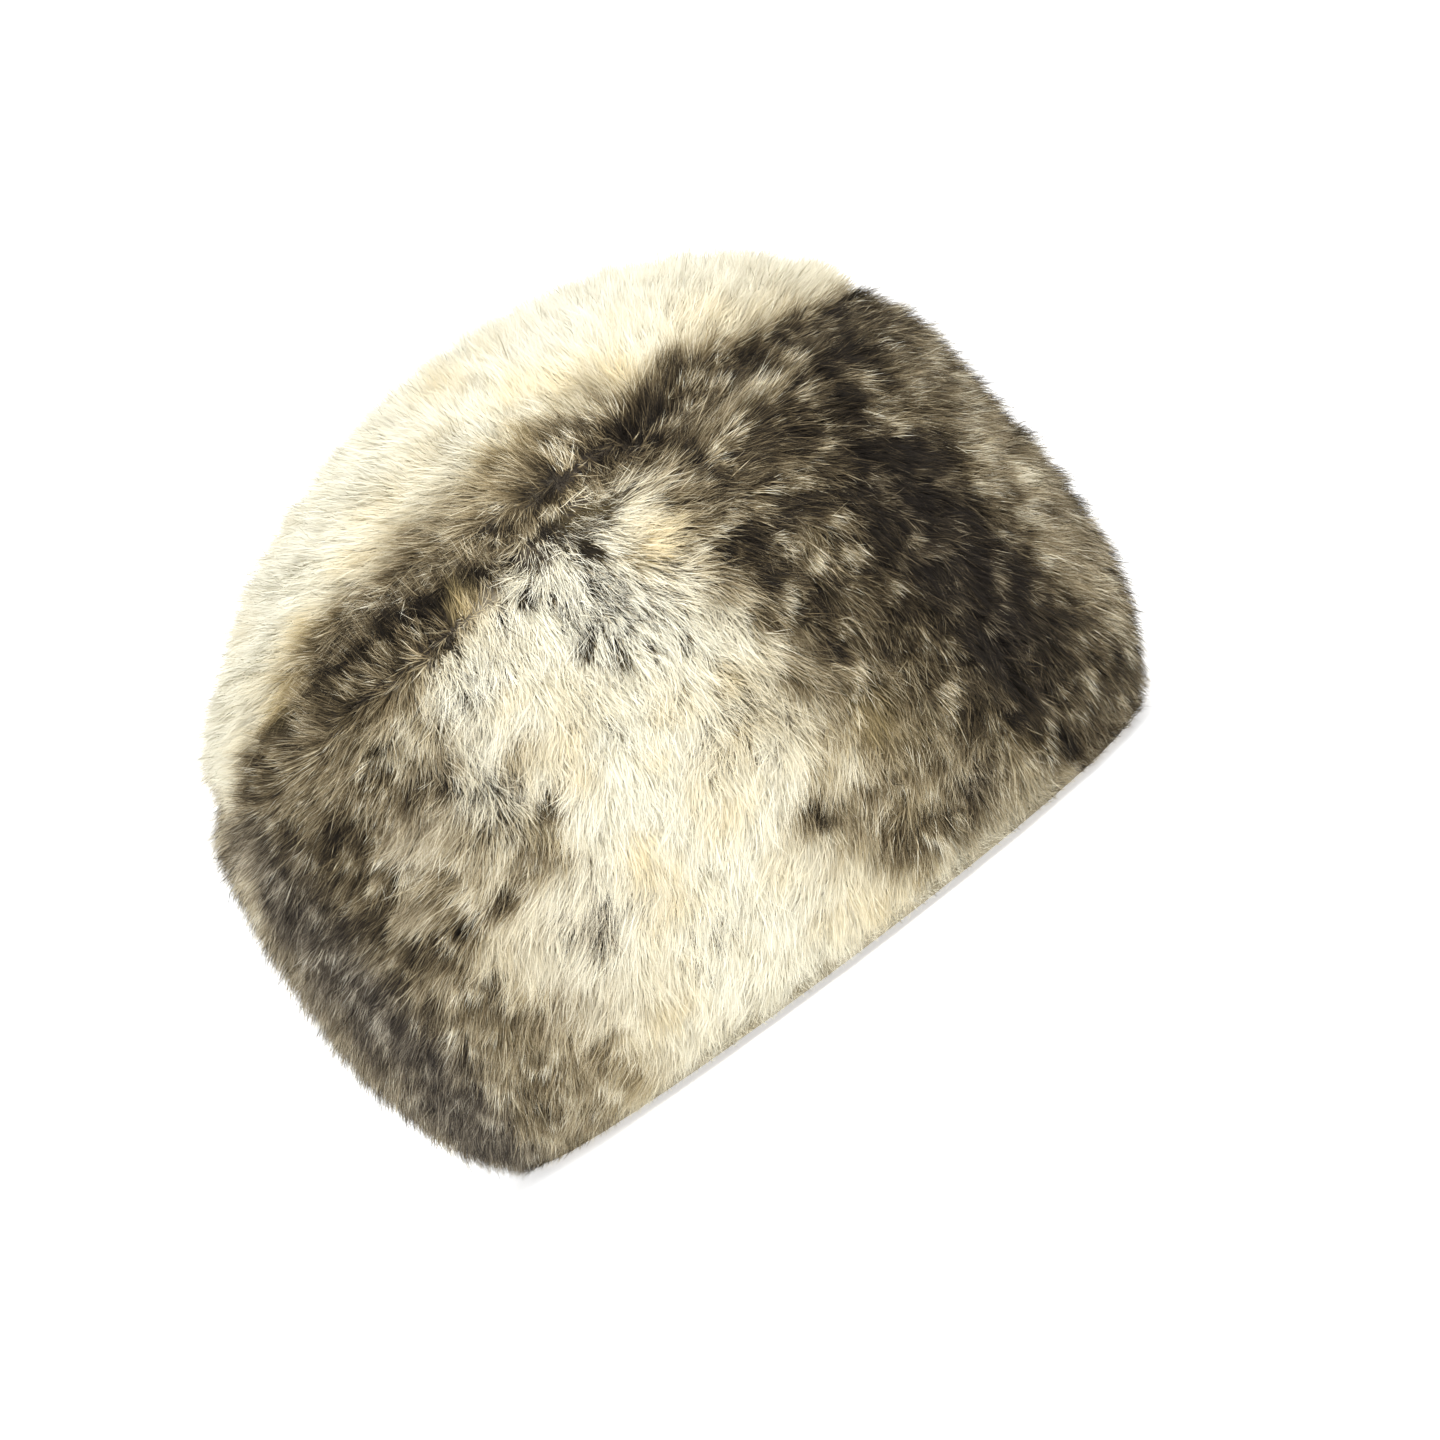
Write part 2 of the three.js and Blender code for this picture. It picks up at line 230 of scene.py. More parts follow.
def crown_grid(share_of):
    """Rows of points over the crown, from the seam to the top."""
    outline = seam_line(SEAM_GAP)
    share = share_of(outline)
    lowest = elevation_at(azimuths, outline, share)
    rows = []
    for i in range(CROWN_ROWS):
        elevation = lowest + (math.pi / 2 - 1e-4 - lowest) * i / (CROWN_ROWS - 1)
        rows.append(surface(direction_of(azimuths, elevation), share))
    return np.array(rows)


def mesh_of(name, points, faces):
    mesh = bpy.data.meshes.new(name)
    mesh.from_pydata((points / 1000).tolist(), [], faces)
    mesh.validate()
    made = bpy.data.objects.new(name, mesh)
    bpy.context.scene.collection.objects.link(made)
    return made


def strip_faces(rows, around, turned, start=0):
    """The quads between rows of points that close round."""
    faces = []
    for i in range(rows - 1):
        for j in range(around):
            k = (j + 1) % around
            a, b = start + i * around, start + (i + 1) * around
            quad = (a + j, a + k, b + k, b + j)
            faces.append(quad[::-1] if turned else quad)
    return faces


def wall(name, outer, inner, closed_top):
    """A closed wall between an outer and an inner grid."""
    rows, around = outer.shape[:2]
    points = np.concatenate([outer.reshape(-1, 3), inner.reshape(-1, 3)])
    faces = strip_faces(rows, around, False) + strip_faces(rows, around, True, rows * around)
    ends = [(0, True)] + ([] if closed_top else [(rows - 1, False)])
    for row, turned in ends:
        for j in range(around):
            k = (j + 1) % around
            a, b = row * around, (rows + row) * around
            quad = (a + j, a + k, b + k, b + j)
            faces.append(quad[::-1] if turned else quad)
    if closed_top:
        for start, turned in ((0, False), (rows * around, True)):
            ring = [start + (rows - 1) * around + j for j in range(around)]
            faces.append(ring[::-1] if turned else ring)
    made = mesh_of(name, points, faces)
    outside = np.repeat([1.0, 0.0], rows * around)
    made.data.attributes.new("outside", "FLOAT", "POINT").data.foreach_set("value", outside)
    return made


CLOTH_STEP = 5  # the walls need fewer points than the pile's layout


def thinned(grid):
    rows = list(range(0, len(grid) - 1, CLOTH_STEP)) + [len(grid) - 1]
    return grid[rows][:, ::CLOTH_STEP]


band_bed, crown_bed = band_grid(bed_share), crown_grid(bed_share)
band_back, crown_back = band_grid(lambda height: height * 0), crown_grid(lambda height: height * 0)
band_cloth = wall("band_cloth", thinned(band_bed), thinned(band_back), False)
crown_cloth = wall("crown_cloth", thinned(crown_bed), thinned(crown_back), True)


class Socket:
    """A node's output, on which sums can be written."""

    def __init__(self, tree, out):
        self.tree, self.out = tree, out

    def sum(self, operation, *values):
        return self.tree.node("ShaderNodeMath", {"operation": operation}, dict(enumerate(values)))

    def __add__(self, other):
        return self.sum("ADD", self, other)

    def __sub__(self, other):
        return self.sum("SUBTRACT", self, other)

    def __mul__(self, other):
        return self.sum("MULTIPLY", self, other)

    def __truediv__(self, other):
        return self.sum("DIVIDE", self, other)

    def __pow__(self, other):
        return self.sum("POWER", self, other)

    def __rsub__(self, other):
        return self.sum("SUBTRACT", other, self)

    def __rtruediv__(self, other):
        return self.sum("DIVIDE", other, self)

    __radd__, __rmul__ = __add__, __mul__

    def between(self, low, high):
        """0 below low and 1 above high, with a soft step between."""
        return self.tree.node("ShaderNodeMapRange", {"interpolation_type": "SMOOTHSTEP"},
                              {0: self, 1: low, 2: high, 3: 0.0, 4: 1.0})


class Tree:
    """A node tree and the one method that adds a node to it."""

    def __init__(self, tree):
        self.tree = tree

    def node(self, kind, settings=None, inputs=None, output=0):
        made = self.tree.nodes.new(kind)
        for name, value in (settings or {}).items():
            if name == "stops":
                ramp = made.color_ramp
                for at, colour in value[1:-1]:
                    ramp.elements.new(at).color = (*colour, 1)
                for element, (at, colour) in ((ramp.elements[0], value[0]), (ramp.elements[-1], value[-1])):
                    element.position, element.color = at, (*colour, 1)
            else:
                setattr(made, name, value)
        for key, value in (inputs or {}).items():
            if isinstance(value, Socket):
                self.tree.links.new(value.out, made.inputs[key])
            else:
                made.inputs[key].default_value = value
        return Socket(self, made.outputs[output]) if made.outputs else None

    def mix(self, share, first, second):
        first, second = ((*c, 1) if isinstance(c, tuple) else c for c in (first, second))
        return self.node("ShaderNodeMix", {"data_type": "RGBA"}, {0: share, 6: first, 7: second}, 2)

    def vector(self, operation, *values, output=0):
        return self.node("ShaderNodeVectorMath", {"operation": operation}, dict(enumerate(values)), output)

    def scaled(self, vector, factor):
        return self.node("ShaderNodeVectorMath", {"operation": "SCALE"}, {0: vector, 3: factor})


def finish_of(name):
    """A new material with an empty surface, as a tree and its shader's values."""
    material = bpy.data.materials.new(name)
    material.use_nodes = True
    material.node_tree.nodes.clear()
    return material, Tree(material.node_tree)


def shade(tree, **values):
    """The tree's surface, with underscores for the blanks in its values' names."""
    named = {name.replace("_", " "): value for name, value in values.items()}
    shader = tree.node("ShaderNodeBsdfPrincipled", None, named)
    tree.node("ShaderNodeOutputMaterial", None, {0: shader})


KNIT = (0.62, 0.56, 0.46)
KNIT_SHADE = (0.40, 0.35, 0.28)
PALE_BED = (0.42, 0.37, 0.26)  # what shows between pale hairs
DARK_BED = (0.055, 0.042, 0.028)  # and between dark ones
STITCH_SCALE = 620.0  # stitches to the metre
TURN = 6.3  # a whole wave of the texture

knit, tree = finish_of("knitted_back")
place = tree.node("ShaderNodeTexCoord", None, None, 3)
course = tree.node("ShaderNodeTexWave", {"wave_type": "BANDS", "bands_direction": "Z"},
                   {0: place, 1: STITCH_SCALE / TURN, 2: 1.5, 3: 2.0})
blotch = tree.node("ShaderNodeTexNoise", None, {0: place, 2: 60.0, 3: 4.0})
fibre = tree.node("ShaderNodeTexNoise", None, {0: place, 2: 900.0, 3: 3.0})
relief = course * 0.6 + fibre * 0.6
# the knit is painted darker where its bump is low, as shade in its grooves, and its tone wanders in blotches
colour = tree.mix(relief * 0.5 + blotch * 0.5, KNIT_SHADE, KNIT)
outside, bed = (tree.node("ShaderNodeAttribute", {"attribute_name": label}, None, 2)
                for label in ("outside", "bed"))
between_hairs = tree.mix(bed.between(0.1, 0.5), PALE_BED, DARK_BED)
colour = tree.mix(outside.between(0.4, 0.9), colour, between_hairs)
bump = tree.node("ShaderNodeBump", None, {"Strength": 0.5, "Distance": 0.0006, "Height": relief})
shade(tree, Base_Color=colour, Roughness=0.75 + 0.2 * fibre, Normal=bump)
for cloth, node, slot in ((band_cloth, "side_band", "band_fur"), (crown_cloth, "crown", "crown_fur")):
    cloth.data.materials.append(knit)
    cloth.data.shade_smooth()
    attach(cloth, "root")
    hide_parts(node)


# Band pile
# Long soft pile of crimped polyester fibres, locked into the cloth and brushed: it fans down from
# the pinch in the seam and swirls towards both ends. A dense underfur carries longer guard hair.

# Which way the pile lies: on the near side (1) or the far side (0), at x and z in the picture, in
# degrees from straight down
NAP = [
    (1, -100, 130, -128), (1, -88, 133, -130), (1, -75, 134, -142), (1, -60, 134, -160),
    (1, -46, 134, -172), (1, -32, 134, 178), (1, -19, 133, 160), (1, -8, 132, -50), (1, 4, 132, 0),
    (1, 15, 132, 40), (1, 27, 132, 78), (1, 40, 133, 108), (1, 66, 134, 122), (1, 84, 134, 116),
    (1, 102, 130, 92), (1, -60, 128, -76), (1, -46, 127, -40), (1, -32, 126, -4), (1, -108, 118, -100),
    (1, -90, 120, -92), (1, -74, 122, -84), (1, -60, 124, -66), (1, -48, 124, -35), (1, -110, 100, -84),
    (1, -92, 106, -78), (1, -76, 108, -72), (1, -64, 110, -50), (1, -112, 80, -76), (1, -94, 86, -84),
    (1, -76, 90, -86), (1, -62, 96, -64), (1, -52, 100, -14), (1, -95, 70, -74), (1, -76, 74, -90),
    (1, -58, 78, -62), (1, -48, 84, -20), (1, -112, 50, -64), (1, -95, 48, -62), (1, -76, 52, -58),
    (1, -105, 26, -55), (1, -86, 22, -50), (1, -60, 55, -55), (1, -60, 24, -46), (1, -34, 122, 0),
    (1, -40, 112, -12), (1, -36, 98, -26), (1, -38, 80, -34), (1, -37, 48, -42), (1, -36, 18, -34),
    (1, -20, 122, -4), (1, -14, 108, -10), (1, -20, 92, -20), (1, -16, 64, -36), (1, -10, 44, -40),
    (1, -14, 20, -30), (1, -4, 118, -4), (1, -1, 98, -3), (1, -2, 78, -14), (1, 8, 62, -26),
    (1, 0, 30, -32), (1, 10, 118, 8), (1, 11, 100, 2), (1, 14, 82, -6), (1, 19, 122, 32),
    (1, 21, 108, 22), (1, 26, 127, 54), (1, 30, 115, 48), (1, 34, 98, 30), (1, 29, 81, 6),
    (1, 24, 62, -12), (1, 26, 42, -28), (1, 24, 18, -30), (1, 40, 122, 60), (1, 46, 108, 50),
    (1, 46, 88, 26), (1, 40, 66, 6), (1, 44, 40, -12), (1, 44, 16, -22), (1, 54, 134, 122),
    (1, 60, 122, 62), (1, 62, 106, 48), (1, 63, 92, 0), (1, 60, 72, 0), (1, 60, 48, -4),
    (1, 62, 20, -24), (1, 74, 118, 60), (1, 78, 100, 30), (1, 80, 80, 4),
    (1, 82, 58, -6), (1, 82, 30, -8), (1, 92, 130, 88), (1, 94, 112, 50), (1, 97, 92, 34),
    (1, 98, 66, 14), (1, 98, 40, 4), (1, 98, 16, 2), (1, 108, 122, 76), (1, 112, 100, 60),
    (1, 112, 80, 42), (1, 112, 54, 24), (1, 110, 30, 16),
    (0, -105, 120, -70), (0, -105, 80, -60), (0, -100, 30, -35), (0, -60, 120, -50),
    (0, -60, 80, -40), (0, -60, 30, -25), (0, -20, 118, -30), (0, -20, 70, -30), (0, -20, 24, -15),
    (0, 20, 118, 5), (0, 20, 70, -15), (0, 20, 24, -10), (0, 60, 120, 45), (0, 60, 80, 20),
    (0, 60, 30, 0), (0, 100, 118, 60), (0, 100, 75, 25), (0, 100, 28, 5),
]
NAP_REACH = 5.5
HALF_LENGTH = 121.0  # of the hat
PARTING = 130.5  # how high in the picture the band's pile parts towards the rear
AIM_HEIGHT = 69.7  # how high the middle of the frame is over the hat's lowest edge in the picture
PILE_LIE = 7.0  # how far along the cloth a hair's tip lies from its root, in millimetres
PILE_WALK = 6  # steps from root to tip
TIPS = 0.95  # hairs end a little inside the form, and stray to it
PINCH_AT, PINCH_REACH = 12, 26  # where the seam is pinched, along x
LEAN_TO_REAR, LEAN_IN_PINCH, LEAN_CHANGE = 0.18, 0.42, 0.16  # how far the pile leans down at the seam
LEAN_REACH = 14  # how far from the seam it does
SWAY_WIDE, SWAY_FINE = 14, 12  # how far the nap wanders, in degrees
HEM_LENGTH = 0.72  # how long the hair is at the hem, as a share


def as_seen(points):
    """Points as they stand in the picture, where what is nearer is larger and lower."""
    near = 1 / (1 + points[:, 1] / (1000 * DISTANCE))
    aside, rise = points[:, 0] - 1000 * aim[0], points[:, 2] - 1000 * aim[2]
    rise = rise + math.tan(LOOK_DOWN) * points[:, 1]
    return np.stack([1000 * aim[0] + aside * near, points[:, 1], AIM_HEIGHT + rise * near], -1)


near, nap_x, nap_z, nap_lean = np.array(NAP, float).T
at_x, at_z = nap_x, nap_z
for _ in range(6):
    azimuth = np.where(near > 0, -1, 1) * np.arccos(np.clip(at_x / HALF_LENGTH, -1, 1))
    nap_points = surface(direction_of(azimuth, elevation_at(azimuth, at_z, 1)), 1)
    found = as_seen(nap_points)
    at_x, at_z = at_x + nap_x - found[:, 0], at_z + nap_z - found[:, 2]
nap_lies = np.stack([np.sin(np.radians(nap_lean)), 0 * nap_lean, -np.cos(np.radians(nap_lean))], -1)


def ripple(points, scale, seed):
    """A smooth irregular wave over the cloth, from -1 to 1."""
    p = points / scale
    return (np.sin(p[:, 0] + 1.7 * np.sin(0.7 * p[:, 2] + seed) + seed)
            * np.cos(0.9 * p[:, 2] + 1.3 * np.sin(0.8 * p[:, 1] - seed) + 0.6 * p[:, 0]))


def band_nap(points):
    """Above the parting towards the rear only the rows that lie upward count, below it the others."""
    apart = ((points[:, None] - nap_points[None]) ** 2).sum(-1)
    seen = as_seen(points)
    parted = smooth(seen[:, 0], -82, -64) * (1 - smooth(seen[:, 0], -15, -9)) * (points[:, 1] < 0)
    above = seen[:, 2] > PARTING + 1.2 * ripple(points, 3.0, 5.1)
    astray = (nap_lies[None, :, 2] > 0) != above[:, None]
    weight = (1 - 0.99 * parted[:, None] * astray) / (apart + NAP_REACH**2) ** 3
    return unit((nap_lies[None] * weight[..., None]).sum(1))


def in_pinch(points):
    return np.exp(-(((points[:, 0] - PINCH_AT) / PINCH_REACH) ** 4)) * (points[:, 1] < 0)


def facing_of(shape, points, spread):
    """Which way a form faces at points on it, over the spread of a few millimetres."""
    step = unit(points - MIDDLE)
    aside = unit(np.cross(step, [0.0, 0.0, 1.0]) + [1e-6, 0, 0])
    above = np.cross(aside, step)
    left, right = (shape(points + s * aside * spread) for s in (1, -1))
    higher, lower = (shape(points + s * above * spread) for s in (1, -1))
    out = unit(np.cross(left - right, higher - lower))
    return out * np.sign((out * step).sum(-1, keepdims=True))


def tips_at(points):
    return surface(points - MIDDLE, TIPS)


def unfolded(points):
    """Points on the pile's form without its folds."""
    step = unit(points - MIDDLE)
    return step * pile_form(step)[:, None] + MIDDLE


def walked(roots, nap, length):
    """Where hairs end that stand out of the cloth and then turn so that they lie along the nap.
    Beside the seam they are shorter and lean down, so that they hang over it."""
    out = facing_of(unfolded, unfolded(roots), 5.0)
    from_seam = roots[:, 2] - seam_height(roots[:, 0])
    nearness = smooth(-roots[:, 1], 0, 40)
    lean = LEAN_TO_REAR * (1 - smooth(roots[:, 0], 20, 45)) + LEAN_IN_PINCH * in_pinch(roots)
    lean = (lean + LEAN_CHANGE * ripple(roots, 4.0, 2.6)) * nearness
    out[:, 2] -= lean * np.exp(-((from_seam / LEAN_REACH) ** 2))
    out = unit(out)
    rise = np.linalg.norm(tips_at(roots) - roots, axis=-1, keepdims=True)
    here = tips_at(roots + out * rise * (out * unit(roots - MIDDLE)).sum(-1, keepdims=True))
    length = length * (1 - (0.1 + 0.3 * in_pinch(roots)) * (1 - smooth(np.abs(from_seam), 0, 9)))[:, None]
    # what a straight blade shows of its rise is taken off its nap, where it is seen from the side
    seen_rise = (here - roots) * [1, 0, 1] / np.maximum(length, 3)
    seen_rise = seen_rise * (nearness * (1 - smooth(np.abs(roots[:, 0]), 60, 100)))[:, None]
    for _ in range(PILE_WALK):
        out = unit(here - MIDDLE)
        lies = nap(here) - 0.9 * seen_rise
        lies = unit(lies - out * (lies * out).sum(-1, keepdims=True))
        sway = np.radians(SWAY_WIDE * ripple(here, 7.0, 1.3) + SWAY_FINE * ripple(here, 3.1, 4.2))[:, None]
        lies = lies * np.cos(sway) + np.cross(out, lies) * np.sin(sway)
        ahead = tips_at(here + lies * (length / PILE_WALK))
        here = np.where(ahead[:, 2:] > 1.5, ahead, here)
    return here


# The colours of the near side, painted one over the other: x and z in the picture, half length,
# half height, turn in degrees, tone from cream (0) to black-brown (1), how cool it is, how well it covers
COAT = [
    # the band towards the rear
    (-120, 70, 12, 80, 0, 0.42, 0.3, 0.9), (-113, 106, 6, 14, 0, 0.22, 0.2, 0.85),
    (-88, 96, 16, 42, 0, 0.6, 0.0, 0.98), (-84, 30, 22, 40, 0, 0.42, 0.0, 0.98),
    (-104, 60, 9, 78, 2, 0.72, 0.8, 0.95), (-60, 134.5, 46, 6.5, 0, 0.52, 0.0, 0.95),
    (-66, 124.5, 22, 7, 4, 0.52, 0.0, 0.95), (-38, 128.5, 17, 3, 0, 0.48, 0.0, 0.8),
    (-64, 92, 16, 20, 0, 0.37, 0.1, 0.85), (-97, 92, 6, 6, 0, 0.92, 0.3, 0.9),
    (-84, 104, 8, 5, 0, 0.84, 0.0, 0.8), (-97, 113, 5, 4, 20, 0.84, 0.0, 0.75),
    (-108, 117, 7, 5, 0, 0.48, 0.4, 0.7), (-69, 111, 9, 6, 0, 0.6, 0.0, 0.75),
    (-72, 144, 7, 3, 0, 0.85, 0.0, 0.7), (-86, 90, 8, 4, 0, 0.5, 0.0, 0.6),
    (-72, 78, 14, 8, 0, 0.46, 0.0, 0.85), (-73, 90, 7, 6, 0, 0.28, 0.3, 0.9),
    (-83, 76, 6, 3.5, -10, 0.32, 0.2, 0.8), (-88, 67, 10, 3.5, -5, 0.82, 0.0, 0.9),
    (-66, 66, 18, 4.5, 0, 0.64, 0.0, 0.9), (-64, 106, 12, 10, 0, 0.55, 0.0, 0.9),
    (-50, 106, 11, 6, 0, 0.36, 0.3, 0.6), (-49, 79, 4, 6, 15, 0.62, 0.2, 0.7),
    (-43, 89, 3, 6, -10, 0.58, 0.6, 0.7), (-36, 93, 8, 4, 0, 0.42, 0.0, 0.7),
    (-39, 78, 5, 3.5, 0, 0.8, 0.0, 0.9), (-46, 69, 9, 6, 0, 0.55, 0.0, 0.8),
    (-52, 52, 24, 12, 10, 0.24, 0.2, 0.7), (-45, 46, 6, 6, 30, 0.42, 0.6, 0.6),
    (-86, 53, 8, 5, 0, 0.48, 0.0, 0.6), (-79.5, 48, 2.4, 7, 10, 0.84, 0.0, 0.85),
    (-77, 41, 3, 4, 0, 0.8, 0.0, 0.8), (-89, 43, 6, 4, 0, 0.4, 0.2, 0.7),
    (-87, 32, 7, 2.5, -20, 0.34, 0.0, 0.7), (-84, 25, 9, 4, 0, 0.7, 0.0, 0.7),
    (-64, 32, 10, 9, 0, 0.42, 0.3, 0.75), (-51, 30, 11, 12, 0, 0.24, 0.1, 0.75),
    (-66, 20, 5, 2.5, 0, 0.62, 0.0, 0.7), (-92, 14, 3, 5, 30, 0.36, 0.0, 0.8),
    (-87, 15, 2.5, 4, 30, 0.74, 0.0, 0.7), (-66, 10, 15, 8, 0, 0.4, 0.0, 0.85),
    (-75, 7, 3.5, 2.5, 0, 0.74, 0.0, 0.8), (-44, 17, 9, 3.5, 0, 0.3, 0.0, 0.6),
    # the edge of the crown, over the seam, where the narrow dark rows along the seam are painted shade of
    # its crease
    (-34, 146, 46, 9.5, 3, 0.48, 0.0, 0.97), (-26, 158, 18, 5, 4, 0.28, 0.1, 0.8),
    (-52, 151, 16, 4.5, -2, 0.52, 0.0, 0.9), (-14, 156, 18, 5, 0, 0.36, 0.2, 0.7),
    (-28, 154, 6, 3, 0, 0.5, 0.0, 0.6), (-45, 147, 26, 2.2, -2, 0.62, 0.2, 0.8),
    (-76, 143, 8, 3, 20, 0.3, 0.0, 0.8), (-62, 140, 22, 1.8, 0, 0.78, 0.0, 0.85),
    (-91, 132.5, 15, 2.4, 36, 0.82, 0.0, 0.85), (-32, 139, 22, 3, -4, 0.86, 0.0, 0.9),
    (-16, 135.5, 9, 3.5, -14, 0.76, 0.0, 0.85), (-102, 137, 20, 8, 35, 0.05, 0.0, 1.0),
    (-76, 134, 6, 3, -10, 0.44, 0.2, 0.7), (10, 149.5, 28, 13, -10, 0.39, 0.0, 0.97),
    (-8, 144, 4.5, 3.5, 0, 0.7, 0.0, 0.65), (8, 146, 3.5, 2.6, 0, 0.6, 0.0, 0.5),
    (8, 158, 9, 2.2, -5, 0.68, 0.0, 0.85), (19, 149, 6, 6, 0, 0.5, 0.0, 0.7),
    (8, 140, 26, 3.4, 0, 0.52, 0.0, 0.92), (0, 152.5, 13, 5, 0, 0.32, 0.0, 0.7),
    (34, 160, 8, 4, -20, 0.28, 0.0, 0.8), (24, 155.5, 9, 2.6, -28, 0.66, 0.2, 0.8),
    (3, 151, 5, 3, 0, 0.34, 0.0, 0.6), (28, 144, 5, 4, 0, 0.36, 0.0, 0.6),
    (66, 141, 46, 6.5, -8, 0.66, 0.0, 0.97), (53, 149, 19, 7, -14, 0.6, 0.0, 0.95),
    (38, 136.5, 15, 4.5, -6, 0.64, 0.0, 0.9), (31, 152, 8, 2.6, -42, 0.6, 0.1, 0.7),
    (42.5, 140.5, 5.5, 8.5, 5, 0.9, 0.0, 0.95), (51, 141.5, 4.5, 3, 0, 0.94, 0.0, 0.9),
    (83, 142, 8, 3, -15, 0.82, 0.0, 0.85),
    # the middle of the band
    (4, 116, 30, 18, 0, 0.05, 0.2, 0.5), (34, 124, 9, 9, 0, 0.42, 0.0, 0.8),
    (-57, 116, 15, 8, 0, 0.36, 0.0, 0.85), (23, 65, 20, 18, 0, 0.26, 0.0, 0.8),
    (31, 100, 9, 9, 0, 0.3, 0.0, 0.75), (36, 46, 12, 16, 0, 0.28, 0.0, 0.8),
    (28, 27, 19, 13, -20, 0.4, 0.0, 0.85),
    # the band towards the front
    (86, 68, 46, 74, 0, 0.68, 0.0, 1.0), (46, 50, 9, 15, 0, 0.43, 0.0, 0.9),
    (51, 96, 9, 20, 0, 0.66, 0.0, 0.9), (44, 116, 9, 22, -10, 0.5, 0.0, 0.85),
    (39, 79, 6, 18, 0, 0.5, 0.0, 0.85), (35, 107, 6, 9, 0, 0.4, 0.0, 0.8),
    (57, 124, 7, 8, 0, 0.72, 0.0, 0.8), (48, 126, 4, 10, 0, 0.66, 0.0, 0.7),
    (96, 132, 18, 9, -20, 0.7, 0.1, 0.95), (62, 136, 17, 4, 5, 0.5, 0.1, 0.85),
    (79, 134.5, 4.5, 4, 20, 0.4, 0.0, 0.75), (69, 119, 13, 8, 0, 0.8, 0.0, 0.85),
    (60, 104, 9, 4, 0, 0.72, 0.0, 0.7), (62, 94, 9.5, 5, 0, 0.38, 0.0, 0.85),
    (56, 87, 5, 3, 20, 0.4, 0.0, 0.6), (66, 82, 6, 5, 0, 0.76, 0.0, 0.8),
    (44, 103, 7, 4.5, 10, 0.95, 0.0, 0.95), (43.5, 92, 4.5, 4.5, 0, 0.92, 0.0, 0.95),
    (47.5, 81, 5.5, 4, -20, 0.86, 0.0, 0.9), (44, 75.5, 5, 2.5, -10, 0.32, 0.0, 0.75),
    (47, 68, 5, 3, 0, 0.78, 0.0, 0.85), (34, 66, 3.5, 3.5, 0, 0.54, 0.0, 0.75),
    (64, 46, 5, 3, 0, 0.78, 0.0, 0.7), (65, 36, 7, 9, 0, 0.78, 0.0, 0.85),
    (56, 37, 4, 6, 0, 0.36, 0.0, 0.7), (48, 29, 7, 6, 0, 0.5, 0.0, 0.7),
    # the band towards the front
    (86, 68, 12, 50, 0, 0.86, 0.3, 0.92), (86, 93, 12, 8, -10, 0.97, 0.2, 0.95),
    (86, 112, 4.5, 17, 0, 0.9, 0.0, 0.85), (93, 60, 7, 8, 0, 0.93, 0.3, 0.7),
    (80, 44, 9, 7, 0, 0.9, 0.4, 0.7), (80, 27, 8, 6, 0, 0.86, 0.1, 0.75),
    (83, 72, 3.5, 2.5, 0, 0.52, 0.2, 0.7), (77, 60, 3, 3, 0, 0.5, 0.2, 0.6),
    (79, 11, 4.5, 3.5, 0, 0.84, 0.0, 0.85), (114, 62, 11, 66, 0, 0.37, 0.1, 0.85),
    (96, 108, 5, 8, 10, 0.38, 0.0, 0.85), (102, 101, 6, 3, -30, 0.4, 0.0, 0.6),
    (106, 86, 5, 3, 40, 0.3, 0.0, 0.7), (115, 73, 3.5, 3, 0, 0.2, 0.0, 0.8),
    (109, 54, 5, 4, 0, 0.36, 0.0, 0.6), (110, 42, 7, 2.6, -40, 0.34, 0.0, 0.7),
    (103, 26, 12, 12, 0, 0.52, 0.0, 0.7),
    # low on the band
    (54, 16, 8, 5, 0, 0.72, 0.5, 0.75), (63, 12, 3.5, 3, 0, 0.34, 0.3, 0.7),
    (38, 13, 19, 6.5, -8, 0.56, 0.0, 0.85), (15.5, 34.5, 6, 4.5, -20, 0.66, 0.0, 0.85),
    (33, 41, 5, 4, 0, 0.1, 0.0, 0.8), (7, 35, 6, 5, 0, 0.4, 0.0, 0.7), (24, 42, 4, 4, 0, 0.42, 0.0, 0.7),
    (30, 5, 4, 2.5, 0, 0.62, 0.0, 0.8), (20, 7, 9, 4, 0, 0.28, 0.0, 0.6),
    (52, 7, 14, 4, 0, 0.38, 0.1, 0.85), (5, 37, 8, 4, 10, 0.18, 0.0, 0.6),
]
# The far side, which the photograph doesn't show, in the same way
FAR_COAT = [
    (-98, 64, 30, 80, 0, 0.66, 0.2, 0.95), (-72, 66, 14, 64, 4, 0.88, 0.5, 0.85),
    (-44, 95, 20, 26, 20, 0.5, 0.0, 0.8), (-40, 20, 22, 20, 0, 0.48, 0.1, 0.7),
    (20, 60, 16, 14, 10, 0.35, 0.2, 0.6), (80, 66, 46, 78, 0, 0.68, 0.1, 0.98),
    (88, 62, 12, 52, -4, 0.9, 0.6, 0.85), (48, 106, 12, 16, 0, 0.88, 0.0, 0.7),
    (46, 20, 26, 22, 10, 0.52, 0.0, 0.8), (0, 141, 110, 8, 0, 0.64, 0.1, 0.95),
    # the two narrow dark rows along the seam are painted shade of its crease
    (-34, 134, 40, 4, 0, 0.9, 0.1, 0.8), (44, 138, 40, 4, 4, 0.88, 0.1, 0.8),
]
